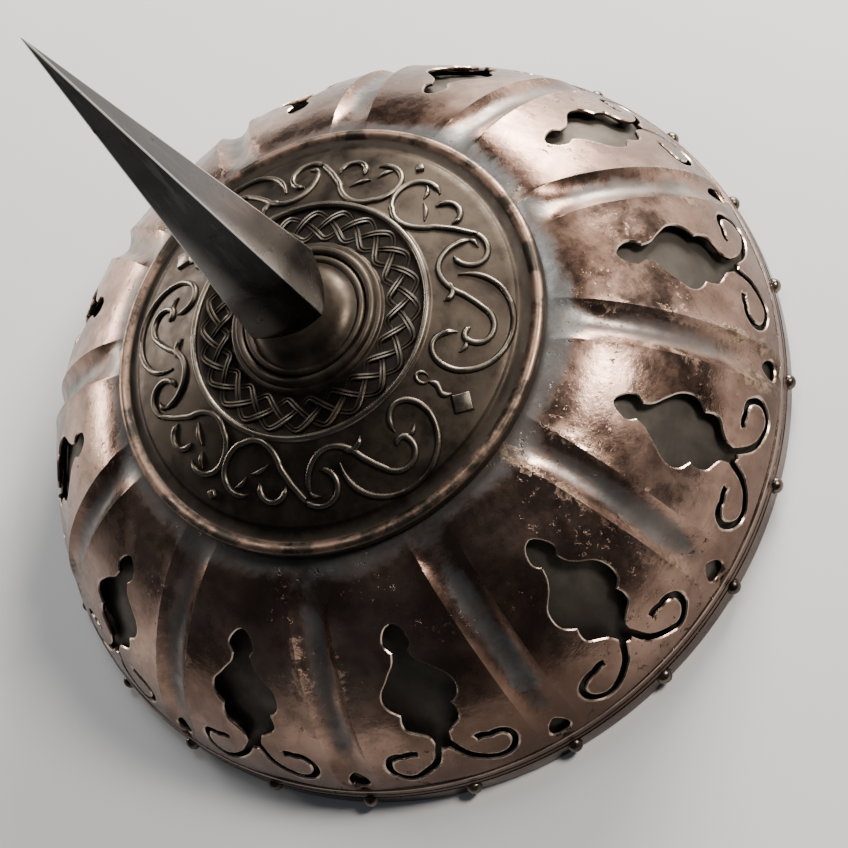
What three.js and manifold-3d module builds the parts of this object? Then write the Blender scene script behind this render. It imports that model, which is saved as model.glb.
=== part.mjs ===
// A spiked buckler: a fluted and pierced dome over a plain iron lining, with a round boss plate
// in relief, a square spike, a row of rim rivets and a strap grip across the back.
// Millimetres. +Z runs up through the boss and the spike. The shield lies on its rim, and the
// origin is the middle of the rim's underside.
import * as THREE from 'three';
import { mergeVertices } from 'three/addons/utils/BufferGeometryUtils.js';
import Module from 'manifold-3d';

const wasm = await Module();
wasm.setup();

// ---------- driving dimensions ----------
const RIM_RADIUS = 150;
const CROWN_RADIUS = 80; // where the dome meets the edge of the boss plate
const CROWN_HEIGHT = 76.2;
const DOME_FULLNESS = 1.56; // exponent of the dome's curve: 1 would be a cone, 2 a quarter ellipse
const PANELS = 12;
const PERIOD = (2 * Math.PI) / PANELS;
const GAP = 0.3; // between pieces that rest on each other

const SHEET = 2.2; // the dome's wall on a panel
const RIM_BAND_TOP = 10.6; // the turned-down band that the rivets sit on
const RIM_BAND_STEP = 0.6; // how far the band stands proud of the panels
const COLLAR_RADIUS = 62; // the dome's open centre, under the boss plate

const FLUTE_HALF_WIDTH = 7.4;
const FLUTE_DEPTH = 3.2;
const FLUTE_DEPTH_INSIDE = 2.0; // the metal is drawn thinner along the flutes
const FLUTE_END = 97.5; // distance from the crown's edge, over the dome, to the rim band
const ROWS_OVER_DOME = [95, 72, 44, 16, 0];

const LINING_SHEET = 1.5;
const LINING_CROWN_RADIUS = 44; // inside this the lining rises under the boss
const LINING_CROWN_HEIGHT = 81;

const FACE_OUTER = new THREE.Vector2(71, 82.8); // the boss plate's sloping face, from here
const FACE_INNER = new THREE.Vector2(45.4, 92.6); // to here
const BEAD_RADIUS = 43.6;
const KNOT_BAND = { inner: 28.4, outer: 42.3, innerHeight: 93.5, outerHeight: 92.3 };
const NECK_TOP = 107;
const NECK_RADIUS = 11.6;
const PLATE_SHEET = 2.8;
const ORNAMENT_TURN = THREE.MathUtils.degToRad(15); // the scrolls' mirror lines, and the spike's corners

const SPIKE_TIP = 269.3;
const SPIKE_SHOULDER = 113.4;
const SPIKE_HALF_DIAGONAL = 18;

const RIVET_COUNT = 24;
const RIVET_RADIUS = 3;
const RIVET_HEIGHT = 2.3;
const RIVET_LEVEL = 4.4;

const STRAP_WIDTH = 18;
const STRAP_THICKNESS = 3.5;
const STRAP_LEVEL = 37; // middle of the strap inside the handle
const HANDLE_LENGTH = 92;
const HANDLE_HALF_HEIGHT = 11;
const HANDLE_HALF_WIDTH = 14;
const FOOT_INNER = 55;
const FOOT_OUTER = 74;

// ---------- from three.js geometry to solids and back ----------
function signedVolume(position, corners) {
  const [a, b, c] = [new THREE.Vector3(), new THREE.Vector3(), new THREE.Vector3()];
  let total = 0;
  for (let i = 0; i < corners.length; i += 3) {
    a.fromBufferAttribute(position, corners[i]);
    b.fromBufferAttribute(position, corners[i + 1]);
    c.fromBufferAttribute(position, corners[i + 2]);
    total += a.dot(b.cross(c)) / 6;
  }
  return total;
}

function solidOf(geometry) {
  const bare = geometry.clone();
  bare.deleteAttribute('normal');
  bare.deleteAttribute('uv');
  const merged = mergeVertices(bare, 1e-4);
  const { position } = merged.attributes;
  const index = merged.index.array;
  const corners = [];
  for (let i = 0; i < index.length; i += 3) {
    const [a, b, c] = index.slice(i, i + 3);
    if (a !== b && b !== c && c !== a) corners.push(a, b, c);
  }
  if (signedVolume(position, corners) < 0) corners.reverse();
  return new wasm.Manifold(new wasm.Mesh({
    numProp: 3,
    vertProperties: Float32Array.from(position.array),
    triVerts: Uint32Array.from(corners),
  }));
}

function meshOf(solid) {
  const { vertProperties, triVerts } = solid.getMesh();
  const geometry = new THREE.BufferGeometry();
  geometry.setAttribute('position', new THREE.BufferAttribute(vertProperties, 3));
  geometry.setIndex(new THREE.BufferAttribute(triVerts, 1));
  return geometry;
}

// The finished geometry, without the needless corners that cuts leave along straight edges.
const STRAIGHTNESS = 0.002;
function geometryOf(solid) {
  const geometry = meshOf(solidOf(meshOf(solid)).setTolerance(STRAIGHTNESS));
  geometry.computeVertexNormals();
  return geometry;
}

function joined(solids) {
  return solids.reduce((sum, solid) => sum.add(solid));
}

// Turns a profile of (radius, height) points round the Z axis.
function turned(profile, columns) {
  return new THREE.LatheGeometry(profile, columns).rotateX(Math.PI / 2);
}

// ---------- the dome's curve ----------
function domeCurve(share) {
  const radius = RIM_RADIUS - (RIM_RADIUS - CROWN_RADIUS) * share;
  const height = CROWN_HEIGHT * (1 - (1 - share) ** DOME_FULLNESS) ** (1 / DOME_FULLNESS);
  return new THREE.Vector2(radius, height);
}

// Points from the crown's edge down to the rim, each with its distance over the dome.
const DOME_STEPS = 600;
const domeTable = [];
for (let i = 0; i <= DOME_STEPS; i += 1) {
  const point = domeCurve((1 - i / DOME_STEPS) ** 2);
  const last = domeTable[i - 1];
  domeTable.push({ point, along: last ? last.along + last.point.distanceTo(point) : 0 });
}

// The point at a distance over the dome, sunk below the surface along its normal.
function domeAt(along, sunk = 0) {
  const next = Math.max(1, domeTable.findIndex((entry) => entry.along >= along));
  const [a, b] = [domeTable[next - 1], domeTable[next]];
  const point = a.point.clone().lerp(b.point, (along - a.along) / (b.along - a.along));
  const down = b.point.clone().sub(a.point).normalize();
  return point.add(new THREE.Vector2(down.y, -down.x).multiplyScalar(sunk));
}

// How deep the flutes are at a distance over the dome, as a share of their full depth.
function fluteShare(along) {
  const start = THREE.MathUtils.smoothstep(along, 0, 24);
  const end = 1 - 0.75 * THREE.MathUtils.smoothstep(along, 66, FLUTE_END);
  return start * end;
}

// ---------- the fluted dome ----------
// One period of columns, as distances from the flute's middle line, with the depth at each.
const OUTER_COLUMNS = [
  { at: 0.45, depth: 1 }, { at: 1, depth: 0 }, { middle: true, depth: 0 },
  { at: -1, depth: 0 }, { at: -0.45, depth: 1 },
];
const INNER_COLUMNS = [{ at: 0, depth: 1 }, { middle: true, depth: 0 }];

// Gathers a turned body's columns round the flutes and sinks them there. Each row is a profile
// point, and a row with a distance over the dome is fluted.
function fluted(rows, columns, depth) {
  const count = PANELS * columns.length;
  const geometry = turned(rows.map((row) => row.point), count);
  const { position } = geometry.attributes;
  for (let i = 0; i < position.count; i += 1) {
    const row = rows[i % rows.length];
    const column = Math.floor(i / rows.length) % count;
    const { at = 0, middle = false, depth: share } = columns[column % columns.length];
    const panel = Math.floor(column / columns.length);
    let angle = (column / count) * 2 * Math.PI;
    let { point } = row;
    if (row.along !== undefined) {
      const turn = middle ? PERIOD / 2 : (at * FLUTE_HALF_WIDTH) / Math.max(point.x, 1);
      angle = panel * PERIOD + (turn < 0 ? PERIOD + turn : turn);
      point = domeAt(row.along, row.sunk + depth * share * fluteShare(row.along));
    }
    angle += PERIOD / 2;
    position.setXYZ(i, point.x * Math.cos(angle), point.x * Math.sin(angle), point.y);
  }
  return geometry;
}

function domeRows(sunk) {
  return ROWS_OVER_DOME.map((along) => ({ point: domeAt(along, sunk), along, sunk }));
}

function plainRows(...points) {
  return points.map(([radius, height]) => ({ point: new THREE.Vector2(radius, height) }));
}

// Half of the leaf-shaped piercing, from its tip: distance over the dome, and half its width.
const LEAF_HALF = [
  [27.4, 0], [30.6, 3.4], [33.8, 4], [37, 2.8], [46.4, 8.4], [51.4, 12], [56.6, 12.4],
  [60.6, 9.2], [67.4, 8.9], [73, 2.8],
];
const SLOT_WIDTH = 2.2;
const VOLUTE = { along: 84, aside: 16.8, innerRadius: 5.6, outerRadius: 6.8, from: 214, to: -30 };
const FORK = new THREE.Vector2(75.2, 1.6);
const VOLUTE_STEPS = 4;
const FORK_STEPS = 2;

// The middle line of the curled slot on one side: a volute, then a bend back to the fork.
function slotLine(voluteSteps, bendSteps) {
  const line = [];
  for (let i = 0; i <= voluteSteps; i += 1) {
    const share = i / voluteSteps;
    const angle = THREE.MathUtils.degToRad(THREE.MathUtils.lerp(VOLUTE.from, VOLUTE.to, share));
    const radius = THREE.MathUtils.lerp(VOLUTE.innerRadius, VOLUTE.outerRadius, share);
    line.push(new THREE.Vector2(
      VOLUTE.along + radius * Math.cos(angle),
      VOLUTE.aside + radius * Math.sin(angle),
    ));
  }
  const end = line[voluteSteps];
  const lean = THREE.MathUtils.degToRad(VOLUTE.to);
  const bend = end.clone().add(new THREE.Vector2(Math.sin(lean), -Math.cos(lean)).multiplyScalar(10));
  const curve = new THREE.QuadraticBezierCurve(end, bend, FORK);
  for (let i = 1; i <= bendSteps; i += 1) line.push(curve.getPoint(i / bendSteps));
  return line;
}

// Points beside a line, at a distance to its left.
function beside(line, distance) {
  return line.map((point, i) => {
    const ahead = line[Math.min(i + 1, line.length - 1)].clone();
    const direction = ahead.sub(line[Math.max(i - 1, 0)]).normalize();
    return point.clone().add(new THREE.Vector2(-direction.y, direction.x).multiplyScalar(distance));
  });
}

// The whole piercing as (distance over the dome, distance aside): leaf, fork and two volutes.
function piercingOutline() {
  const line = slotLine(VOLUTE_STEPS, FORK_STEPS);
  const inner = beside(line, -SLOT_WIDTH / 2).reverse();
  const outer = beside(line, SLOT_WIDTH / 2);
  const leaf = LEAF_HALF.map(([along, aside]) => new THREE.Vector2(along, aside));
  const half = [...leaf, ...inner, ...outer, new THREE.Vector2(FORK.x + SLOT_WIDTH * 0.7, 0)];
  const mirrored = half.slice(1, -1).reverse().map((point) => new THREE.Vector2(point.x, -point.y));
  return [...half, ...mirrored];
}

// The small eye at a flute's lower end.
const EYE = { start: 87.2, end: 94.6, halfWidth: 3.7 };
function eyeOutline() {
  const { start, end, halfWidth } = EYE;
  const middle = THREE.MathUtils.lerp(start, end, 0.45);
  return [[start, 0], [middle, -halfWidth], [end, -halfWidth * 0.7], [end, halfWidth * 0.7],
    [middle, halfWidth],
  ].map(([along, aside]) => new THREE.Vector2(along, aside));
}

// A punch for an outline drawn on the dome, driven along the dome's normal at one distance.
function punch(outline, along, turn) {
  const here = domeAt(along);
  const below = domeAt(along, 1);
  const normal = new THREE.Vector3(here.x - below.x, 0, here.y - below.y);
  const aside = new THREE.Vector3(0, 1, 0);
  const down = new THREE.Vector3().crossVectors(aside, normal);
  const origin = new THREE.Vector3(here.x, 0, here.y);
  const flat = outline.map((point) => {
    const { x: radius, y: height } = domeAt(point.x);
    const angle = point.y / radius;
    const place = new THREE.Vector3(radius * Math.cos(angle), radius * Math.sin(angle), height);
    place.sub(origin);
    return new THREE.Vector2(place.dot(down), place.dot(aside));
  });
  const reach = 16;
  const geometry = new THREE.ExtrudeGeometry(new THREE.Shape(flat), {
    depth: 2 * reach, bevelEnabled: false, steps: 1,
  });
  geometry.translate(0, 0, -reach);
  geometry.applyMatrix4(new THREE.Matrix4().makeBasis(down, aside, normal).setPosition(origin));
  return solidOf(geometry.rotateZ(turn));
}

function makeShell() {
  const proud = domeAt(FLUTE_END);
  const body = solidOf(fluted([
    ...plainRows([0, 0], [RIM_RADIUS, 0], [RIM_RADIUS, RIM_BAND_TOP - 1.2],
      [proud.x + RIM_BAND_STEP, RIM_BAND_TOP], [proud.x, proud.y]),
    ...domeRows(0),
    ...plainRows([0, CROWN_HEIGHT]),
  ], OUTER_COLUMNS, FLUTE_DEPTH));
  const bandInside = RIM_RADIUS - SHEET;
  const hollow = solidOf(fluted([
    ...plainRows([0, -5], [bandInside, -5], [bandInside, RIM_BAND_TOP - 3.4]),
    ...domeRows(SHEET),
    ...plainRows([COLLAR_RADIUS, CROWN_HEIGHT - SHEET], [COLLAR_RADIUS, CROWN_HEIGHT + 5],
      [0, CROWN_HEIGHT + 5]),
  ], INNER_COLUMNS, FLUTE_DEPTH_INSIDE));
  const punches = [];
  for (let panel = 0; panel < PANELS; panel += 1) {
    punches.push(punch(piercingOutline(), 62, panel * PERIOD));
    punches.push(punch(eyeOutline(), 91, (panel + 0.5) * PERIOD));
  }
  return geometryOf(body.subtract(hollow).subtract(joined(punches)));
}

// ---------- the lining ----------
function liningProfile(sunk, rim) {
  const rows = ROWS_OVER_DOME.map((along) => domeAt(along, sunk + FLUTE_DEPTH_INSIDE * fluteShare(along)));
  return [
    new THREE.Vector2(rim, 0),
    new THREE.Vector2(rim, RIM_BAND_TOP - 4),
    ...rows,
    new THREE.Vector2(LINING_CROWN_RADIUS, CROWN_HEIGHT - sunk),
    new THREE.Vector2(0, LINING_CROWN_HEIGHT - sunk + SHEET + GAP),
  ];
}

function makeLining() {
  const sunk = SHEET + GAP;
  const rim = RIM_RADIUS - SHEET - 0.8;
  const outside = liningProfile(sunk, rim);
  const inside = liningProfile(sunk + LINING_SHEET, rim - LINING_SHEET).reverse();
  return geometryOf(solidOf(turned([...outside, ...inside, outside[0]], 2 * PANELS)));
}

// ---------- the boss plate ----------
const PLATE_PROFILE = [
  [CROWN_RADIUS + 0.6, CROWN_HEIGHT + GAP], [CROWN_RADIUS + 0.6, 80.4], [78.6, 82], [76.2, 81],
  [72.4, 81.2], [FACE_OUTER.x, FACE_OUTER.y], [FACE_INNER.x, FACE_INNER.y],
  [BEAD_RADIUS, 94.2], [KNOT_BAND.outer, KNOT_BAND.outerHeight],
  [KNOT_BAND.inner, KNOT_BAND.innerHeight], [27, 95.2], [24.4, 96.8], [22.7, 95.4],
  [21, 96.9], [18.6, 96.4], [14, 100.2], [NECK_RADIUS, NECK_TOP], [0, NECK_TOP],
];
const PLATE_COLUMNS = 24;
const PLATE_UNDERSIDE = [
  [0, 96], [10, 96], [FACE_INNER.x, FACE_INNER.y - PLATE_SHEET], [66, 82], [65, CROWN_HEIGHT + GAP],
];

function faceHeight(radius) {
  const share = (radius - FACE_INNER.x) / (FACE_OUTER.x - FACE_INNER.x);
  return THREE.MathUtils.lerp(FACE_INNER.y, FACE_OUTER.y, share);
}

function knotFloor(radius) {
  const { inner, outer, innerHeight, outerHeight } = KNOT_BAND;
  return THREE.MathUtils.lerp(innerHeight, outerHeight, (radius - inner) / (outer - inner));
}

// Moves a three-sided tube's corners so that it becomes a ridge along a path on the plate, with
// a crest (side 0) and two feet (sides 1 and -1) that are sunk into the plate.
const SUNK_FEET = 0.7;
function ridged(tube, path, closed, halfWidth, height, stationOf) {
  const { position } = tube.attributes;
  const last = path.length - 1;
  const up = new THREE.Vector3(0, 0, 1);
  for (let i = 0; i < position.count; i += 1) {
    const { station, side } = stationOf(position, i);
    const before = closed ? path[(station + last) % path.length] : path[Math.max(station - 1, 0)];
    const after = closed ? path[(station + 1) % path.length] : path[Math.min(station + 1, last)];
    const across = after.clone().sub(before).cross(up).normalize();
    const taper = closed || (station > 0 && station < last) ? 1 : 0.5;
    const spread = halfWidth * (1 + SUNK_FEET / height) * taper;
    const place = path[station].clone()
      .addScaledVector(across, side * spread)
      .addScaledVector(up, side === 0 ? height * taper : -SUNK_FEET);
    position.setXYZ(i, place.x, place.y, place.z);
  }
  return solidOf(tube);
}

function strandAlong(path, halfWidth, height) {
  const steps = path.length - 1;
  const tube = new THREE.CylinderGeometry(1, 1, 1, 3, steps);
  return ridged(tube, path, false, halfWidth, height, (position, i) => ({
    station: Math.round((0.5 - position.getY(i)) * steps),
    side: Math.round(position.getX(i)),
  }));
}

function ringAlong(path, halfWidth, height) {
  const steps = path.length;
  const tube = new THREE.TorusGeometry(3, 1, 3, steps);
  return ridged(tube, path, true, halfWidth, height, (position, i) => ({
    station: (i % (steps + 1)) % steps,
    side: [0, 1, -1][Math.floor(i / (steps + 1)) % 3],
  }));
}

// The scrolls are drawn flat: x runs round the face from a mirror line, measured at the middle
// radius, and y is the radius. An arc may open or close into a volute between its two radii.
const SCROLL_RADIUS = 58.5;
const SCROLLS = [
  { arcs: [{ x: 29, y: 51, start: 16.6, end: 20.6, from: 14, to: 152 },
    { x: 15, y: 54.3, start: 6.9, end: 6, from: 168, to: 372 }] },
  { arcs: [{ x: 23.8, y: 58.7, start: 4.6, end: 6.6, from: 232, to: 38 },
    { x: 48.5, y: 58.4, start: 9.6, end: 8.4, from: 222, to: 384 }] },
  { arcs: [{ x: 53, y: 59.8, start: 4.4, end: 6.1, from: 262, to: 38 },
    { x: 81, y: 56.4, start: 10.2, end: 7, from: 216, to: 484 }] },
  { arcs: [{ x: 70.6, y: 59.2, start: 4.6, end: 4.6, from: -14, to: 168 }] },
];
const SCROLL_WIDTH = 2.3;
const SCROLL_HEIGHT = 1.3;
const ARC_STEP = 60; // degrees of arc between the stations of a strand

function scrollLine(arcs) {
  const line = [];
  arcs.forEach(({ x, y, start, end, from, to }) => {
    const steps = Math.max(2, Math.round(Math.abs(to - from) / ARC_STEP));
    for (let i = 0; i <= steps; i += 1) {
      const angle = THREE.MathUtils.degToRad(THREE.MathUtils.lerp(from, to, i / steps));
      const radius = THREE.MathUtils.lerp(start, end, i / steps);
      line.push(new THREE.Vector2(x + radius * Math.cos(angle), y + radius * Math.sin(angle)));
    }
  });
  return line;
}

// Lays a flat point on the face, to one side of a mirror line.
function onFace(point, axis, side) {
  const angle = axis + side * (point.x / SCROLL_RADIUS);
  return new THREE.Vector3(point.y * Math.cos(angle), point.y * Math.sin(angle), faceHeight(point.y));
}

function scrollwork() {
  const strands = [];
  for (const turn of [-Math.PI / 2, Math.PI / 2]) {
    const axis = ORNAMENT_TURN + turn;
    for (const side of [-1, 1]) {
      SCROLLS.forEach(({ arcs }) => {
        const path = scrollLine(arcs).map((point) => onFace(point, axis, side));
        strands.push(strandAlong(path, SCROLL_WIDTH / 2, SCROLL_HEIGHT));
      });
    }
  }
  return strands;
}

// Raised lozenges on the mirror lines: two large pendants, and two small ones between the scrolls.
function lozenge(angle, radius, halfWidth, halfHeight) {
  const geometry = new THREE.CylinderGeometry(0.8, 1, 2.4, 4).rotateX(Math.PI / 2);
  geometry.scale(halfHeight, halfWidth, 1);
  geometry.rotateY(Math.atan2(FACE_INNER.y - FACE_OUTER.y, FACE_OUTER.x - FACE_INNER.x));
  geometry.translate(radius, 0, faceHeight(radius));
  return solidOf(geometry.rotateZ(angle));
}

function lozenges() {
  return [-Math.PI / 2, Math.PI / 2].flatMap((turn) => [
    lozenge(ORNAMENT_TURN + turn, 64.6, 5.4, 5.2),
    lozenge(ORNAMENT_TURN + turn + Math.PI / 2, 68.2, 2.4, 2.4),
  ]);
}

// Three waving strands, a third of a wave apart, plaited round the boss.
const PLAIT_STRANDS = 3;
const PLAIT_WAVES = 8;
const PLAIT_SWING = 4.7;
const PLAIT_STEPS = 24;
const PLAIT_WIDTH = 2;
const PLAIT_HEIGHT = 1.3;

function plait() {
  const middle = (KNOT_BAND.inner + KNOT_BAND.outer) / 2;
  const rings = [];
  for (let strand = 0; strand < PLAIT_STRANDS; strand += 1) {
    const path = [];
    for (let i = 0; i < PLAIT_STEPS; i += 1) {
      const angle = (i / PLAIT_STEPS) * 2 * Math.PI;
      const phase = (strand / PLAIT_STRANDS) * 2 * Math.PI;
      const radius = middle + PLAIT_SWING * Math.cos(PLAIT_WAVES * angle + phase);
      path.push(new THREE.Vector3(radius * Math.cos(angle), radius * Math.sin(angle), knotFloor(radius)));
    }
    rings.push(ringAlong(path, PLAIT_WIDTH / 2, PLAIT_HEIGHT));
  }
  return rings;
}

function makeBossPlate() {
  const profile = [...PLATE_PROFILE, ...PLATE_UNDERSIDE]
    .map(([radius, height]) => new THREE.Vector2(radius, height));
  profile.push(profile[0].clone());
  const plate = solidOf(turned(profile, PLATE_COLUMNS));
  return geometryOf(joined([plate, ...scrollwork(), ...lozenges(), ...plait()]));
}

// ---------- the spike ----------
// A square pyramid whose foot is turned down to the boss's neck, which scallops its four faces.
function makeSpike() {
  const foot = NECK_TOP + GAP;
  const slope = SPIKE_HALF_DIAGONAL / (SPIKE_TIP - SPIKE_SHOULDER);
  const height = SPIKE_TIP - foot;
  const pyramid = new THREE.ConeGeometry(slope * height, height, 4)
    .rotateX(Math.PI / 2).rotateZ(ORNAMENT_TURN).translate(0, 0, foot + height / 2);
  const rise = (SPIKE_SHOULDER - foot) / (SPIKE_HALF_DIAGONAL - NECK_RADIUS);
  const turning = turned([
    [0, foot - 1], [NECK_RADIUS - 1 / rise, foot - 1], [NECK_RADIUS + 60, foot + 60 * rise],
    [NECK_RADIUS + 60, SPIKE_TIP + 10], [0, SPIKE_TIP + 10],
  ].map(([radius, level]) => new THREE.Vector2(radius, level)), 24);
  return geometryOf(solidOf(pyramid).intersect(solidOf(turning)));
}

// ---------- rivets ----------
function domedHead(radius, height, sides) {
  return turned([[0, height], [radius * 0.72, height * 0.62], [radius, 0], [0, 0]]
    .map(([x, y]) => new THREE.Vector2(x, y)), sides);
}

function makeRimRivet() {
  return geometryOf(solidOf(domedHead(RIVET_RADIUS, RIVET_HEIGHT, 6).rotateY(Math.PI / 2)));
}

function makeGripRivet() {
  return geometryOf(solidOf(domedHead(3.4, 2, 6).rotateX(Math.PI)));
}

// ---------- the grip ----------
const LINING_CEILING = CROWN_HEIGHT - SHEET - GAP - LINING_SHEET;
const FOOT_LEVEL = LINING_CEILING - GAP - STRAP_THICKNESS / 2;

// A flat strap bowed down from two feet under the crown to the level of the handle.
function makeGripStrap() {
  const half = [[FOOT_OUTER, FOOT_LEVEL], [FOOT_INNER + 4, FOOT_LEVEL], [FOOT_INNER, FOOT_LEVEL - 3],
    [FOOT_INNER - 1.5, STRAP_LEVEL + 5], [FOOT_INNER - 5, STRAP_LEVEL]]
    .map(([x, y]) => new THREE.Vector2(x, y));
  const line = [...half, ...half.slice().reverse().map((point) => new THREE.Vector2(-point.x, point.y))];
  const outline = [...beside(line, STRAP_THICKNESS / 2), ...beside(line, -STRAP_THICKNESS / 2).reverse()];
  const geometry = new THREE.ExtrudeGeometry(new THREE.Shape(outline), {
    depth: STRAP_WIDTH, bevelEnabled: false, steps: 1,
  });
  geometry.translate(0, 0, -STRAP_WIDTH / 2);
  return geometryOf(solidOf(geometry.rotateX(Math.PI / 2)));
}

// An oval leather-wrapped handle, bored for the strap.
function makeGripHandle() {
  const oval = new THREE.EllipseCurve(0, 0, HANDLE_HALF_WIDTH, HANDLE_HALF_HEIGHT, 0, 2 * Math.PI);
  const shape = new THREE.Shape(oval.getPoints(16).slice(0, 16));
  const [a, b] = [STRAP_WIDTH / 2 + GAP, STRAP_THICKNESS / 2 + GAP];
  const corners = [[-a, -b], [-a, b], [a, b], [a, -b]];
  shape.holes.push(new THREE.Path(corners.map(([x, y]) => new THREE.Vector2(x, y))));
  const geometry = new THREE.ExtrudeGeometry(shape, {
    depth: HANDLE_LENGTH, bevelEnabled: false, steps: 1,
  });
  geometry.translate(0, 0, -HANDLE_LENGTH / 2);
  geometry.rotateX(Math.PI / 2).rotateZ(Math.PI / 2).translate(0, 0, STRAP_LEVEL);
  return geometryOf(solidOf(geometry));
}

// ---------- materials ----------
function metal(color, roughness) {
  return new THREE.MeshStandardMaterial({ color, roughness, metalness: 1 });
}

const copperBronze = metal(0x7a5a48, 0.38);
const darkIron = metal(0x3b3733, 0.62);
const darkBronze = metal(0x4a4038, 0.48);
const spikeSteel = metal(0x6d6b69, 0.28);
const rivetIron = metal(0x35302c, 0.35);
const leather = new THREE.MeshStandardMaterial({ color: 0x3a241a, roughness: 0.75, metalness: 0 });

// ---------- assembly ----------
const buckler = new THREE.Group();

function addPiece(name, geometry, material) {
  const mesh = new THREE.Mesh(geometry, material);
  mesh.name = name;
  buckler.add(mesh);
  return mesh;
}

addPiece('shell', makeShell(), copperBronze);
addPiece('lining', makeLining(), darkIron);
addPiece('boss_plate', makeBossPlate(), darkBronze);
addPiece('spike', makeSpike(), spikeSteel);
addPiece('grip_strap', makeGripStrap(), darkIron);
addPiece('grip_handle', makeGripHandle(), leather);

const rimRivet = makeRimRivet();
for (let i = 0; i < RIVET_COUNT; i += 1) {
  const angle = (i / RIVET_COUNT) * 2 * Math.PI;
  const rivet = addPiece(`rim_rivet_${String(i + 1).padStart(2, '0')}`, rimRivet, rivetIron);
  rivet.position.set(
    (RIM_RADIUS + GAP) * Math.cos(angle),
    (RIM_RADIUS + GAP) * Math.sin(angle),
    RIVET_LEVEL,
  );
  rivet.rotation.z = angle;
}

const gripRivet = makeGripRivet();
[[-1, -1], [-1, 1], [1, -1], [1, 1]].forEach(([end, side], i) => {
  const rivet = addPiece(`grip_rivet_${i + 1}`, gripRivet, rivetIron);
  const level = FOOT_LEVEL - STRAP_THICKNESS / 2 - GAP;
  rivet.position.set(end * (FOOT_OUTER - 7), side * STRAP_WIDTH * 0.25, level);
});

export default buckler;
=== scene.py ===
"""A spiked buckler lying on its rim: a fluted, pierced copper dome over an iron lining, a boss plate
with scrolls and a plait in relief, a square spike, rim rivets and a leather-wrapped grip behind."""
import bisect
import math
import random

import bmesh
import bpy
from mathutils import Matrix, Vector, noise
from mathutils.kdtree import KDTree


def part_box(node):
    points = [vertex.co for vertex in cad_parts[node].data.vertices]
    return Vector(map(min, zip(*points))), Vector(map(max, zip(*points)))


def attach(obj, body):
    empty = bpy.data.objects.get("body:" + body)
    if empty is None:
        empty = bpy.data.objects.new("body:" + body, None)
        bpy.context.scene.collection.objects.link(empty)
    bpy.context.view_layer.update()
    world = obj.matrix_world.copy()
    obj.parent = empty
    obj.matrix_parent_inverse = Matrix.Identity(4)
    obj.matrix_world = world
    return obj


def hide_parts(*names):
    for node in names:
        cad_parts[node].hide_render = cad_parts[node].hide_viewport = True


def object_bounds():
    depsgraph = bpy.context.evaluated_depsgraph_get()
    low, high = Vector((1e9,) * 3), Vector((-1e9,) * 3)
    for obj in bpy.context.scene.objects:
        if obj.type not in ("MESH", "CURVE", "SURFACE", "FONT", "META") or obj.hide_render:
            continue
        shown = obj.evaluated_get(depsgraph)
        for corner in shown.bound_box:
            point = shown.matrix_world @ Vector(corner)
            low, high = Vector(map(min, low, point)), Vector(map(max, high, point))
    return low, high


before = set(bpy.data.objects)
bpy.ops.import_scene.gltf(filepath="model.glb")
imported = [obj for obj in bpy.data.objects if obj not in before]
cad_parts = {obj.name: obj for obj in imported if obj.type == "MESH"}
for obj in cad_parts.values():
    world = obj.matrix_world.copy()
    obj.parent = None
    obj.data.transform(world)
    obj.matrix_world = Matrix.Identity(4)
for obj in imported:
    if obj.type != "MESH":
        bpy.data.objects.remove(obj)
CAD_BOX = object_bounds()

bl_info = {
    "name": "Spiked Buckler",
    "version": (1, 0, 0),
    "blender": (4, 5, 0),
    "location": "View3D > Sidebar > Buckler",
    "description": "Makes a fluted, pierced and spiked buckler over its fixed frame",
    "category": "Object",
}

MM = 0.001
RIM_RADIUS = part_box("shell")[1].x
CROWN_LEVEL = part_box("shell")[1].z
PLATE_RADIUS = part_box("boss_plate")[1].x
PLATE_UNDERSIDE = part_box("boss_plate")[0].z
CROWN_RADIUS = PLATE_RADIUS - 0.6 * MM
NECK_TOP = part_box("boss_plate")[1].z
SPIKE_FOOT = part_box("spike")[0].z
SPIKE_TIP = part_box("spike")[1].z
LINING_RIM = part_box("lining")[1].x
LINING_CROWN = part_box("lining")[1].z
RIVET_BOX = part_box("rim_rivet_01")
HANDLE_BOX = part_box("grip_handle")
STRAP_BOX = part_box("grip_strap")
GRIP_RIVETS = [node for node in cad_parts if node.startswith("grip_rivet")]
RIM_RIVETS = [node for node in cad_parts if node.startswith("rim_rivet")]

ORNAMENT_TURN = math.radians(15)  # the scrolls' mirror lines and the spike's corners
# Distances over the dome from the edge of its crown.
DOME_END = 100 * MM  # where the fluted sheet ends, under the rim band
FLUTE_FULL = 24 * MM  # where a flute has reached its full depth
FLUTE_FADE = 62 * MM  # where it starts to grow shallower
FLUTE_END = 97 * MM
FLUTE_LOSS = 0.72  # the share of its depth that it has lost at its end


# ---------------------------------------------------------------- what a user may change

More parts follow.
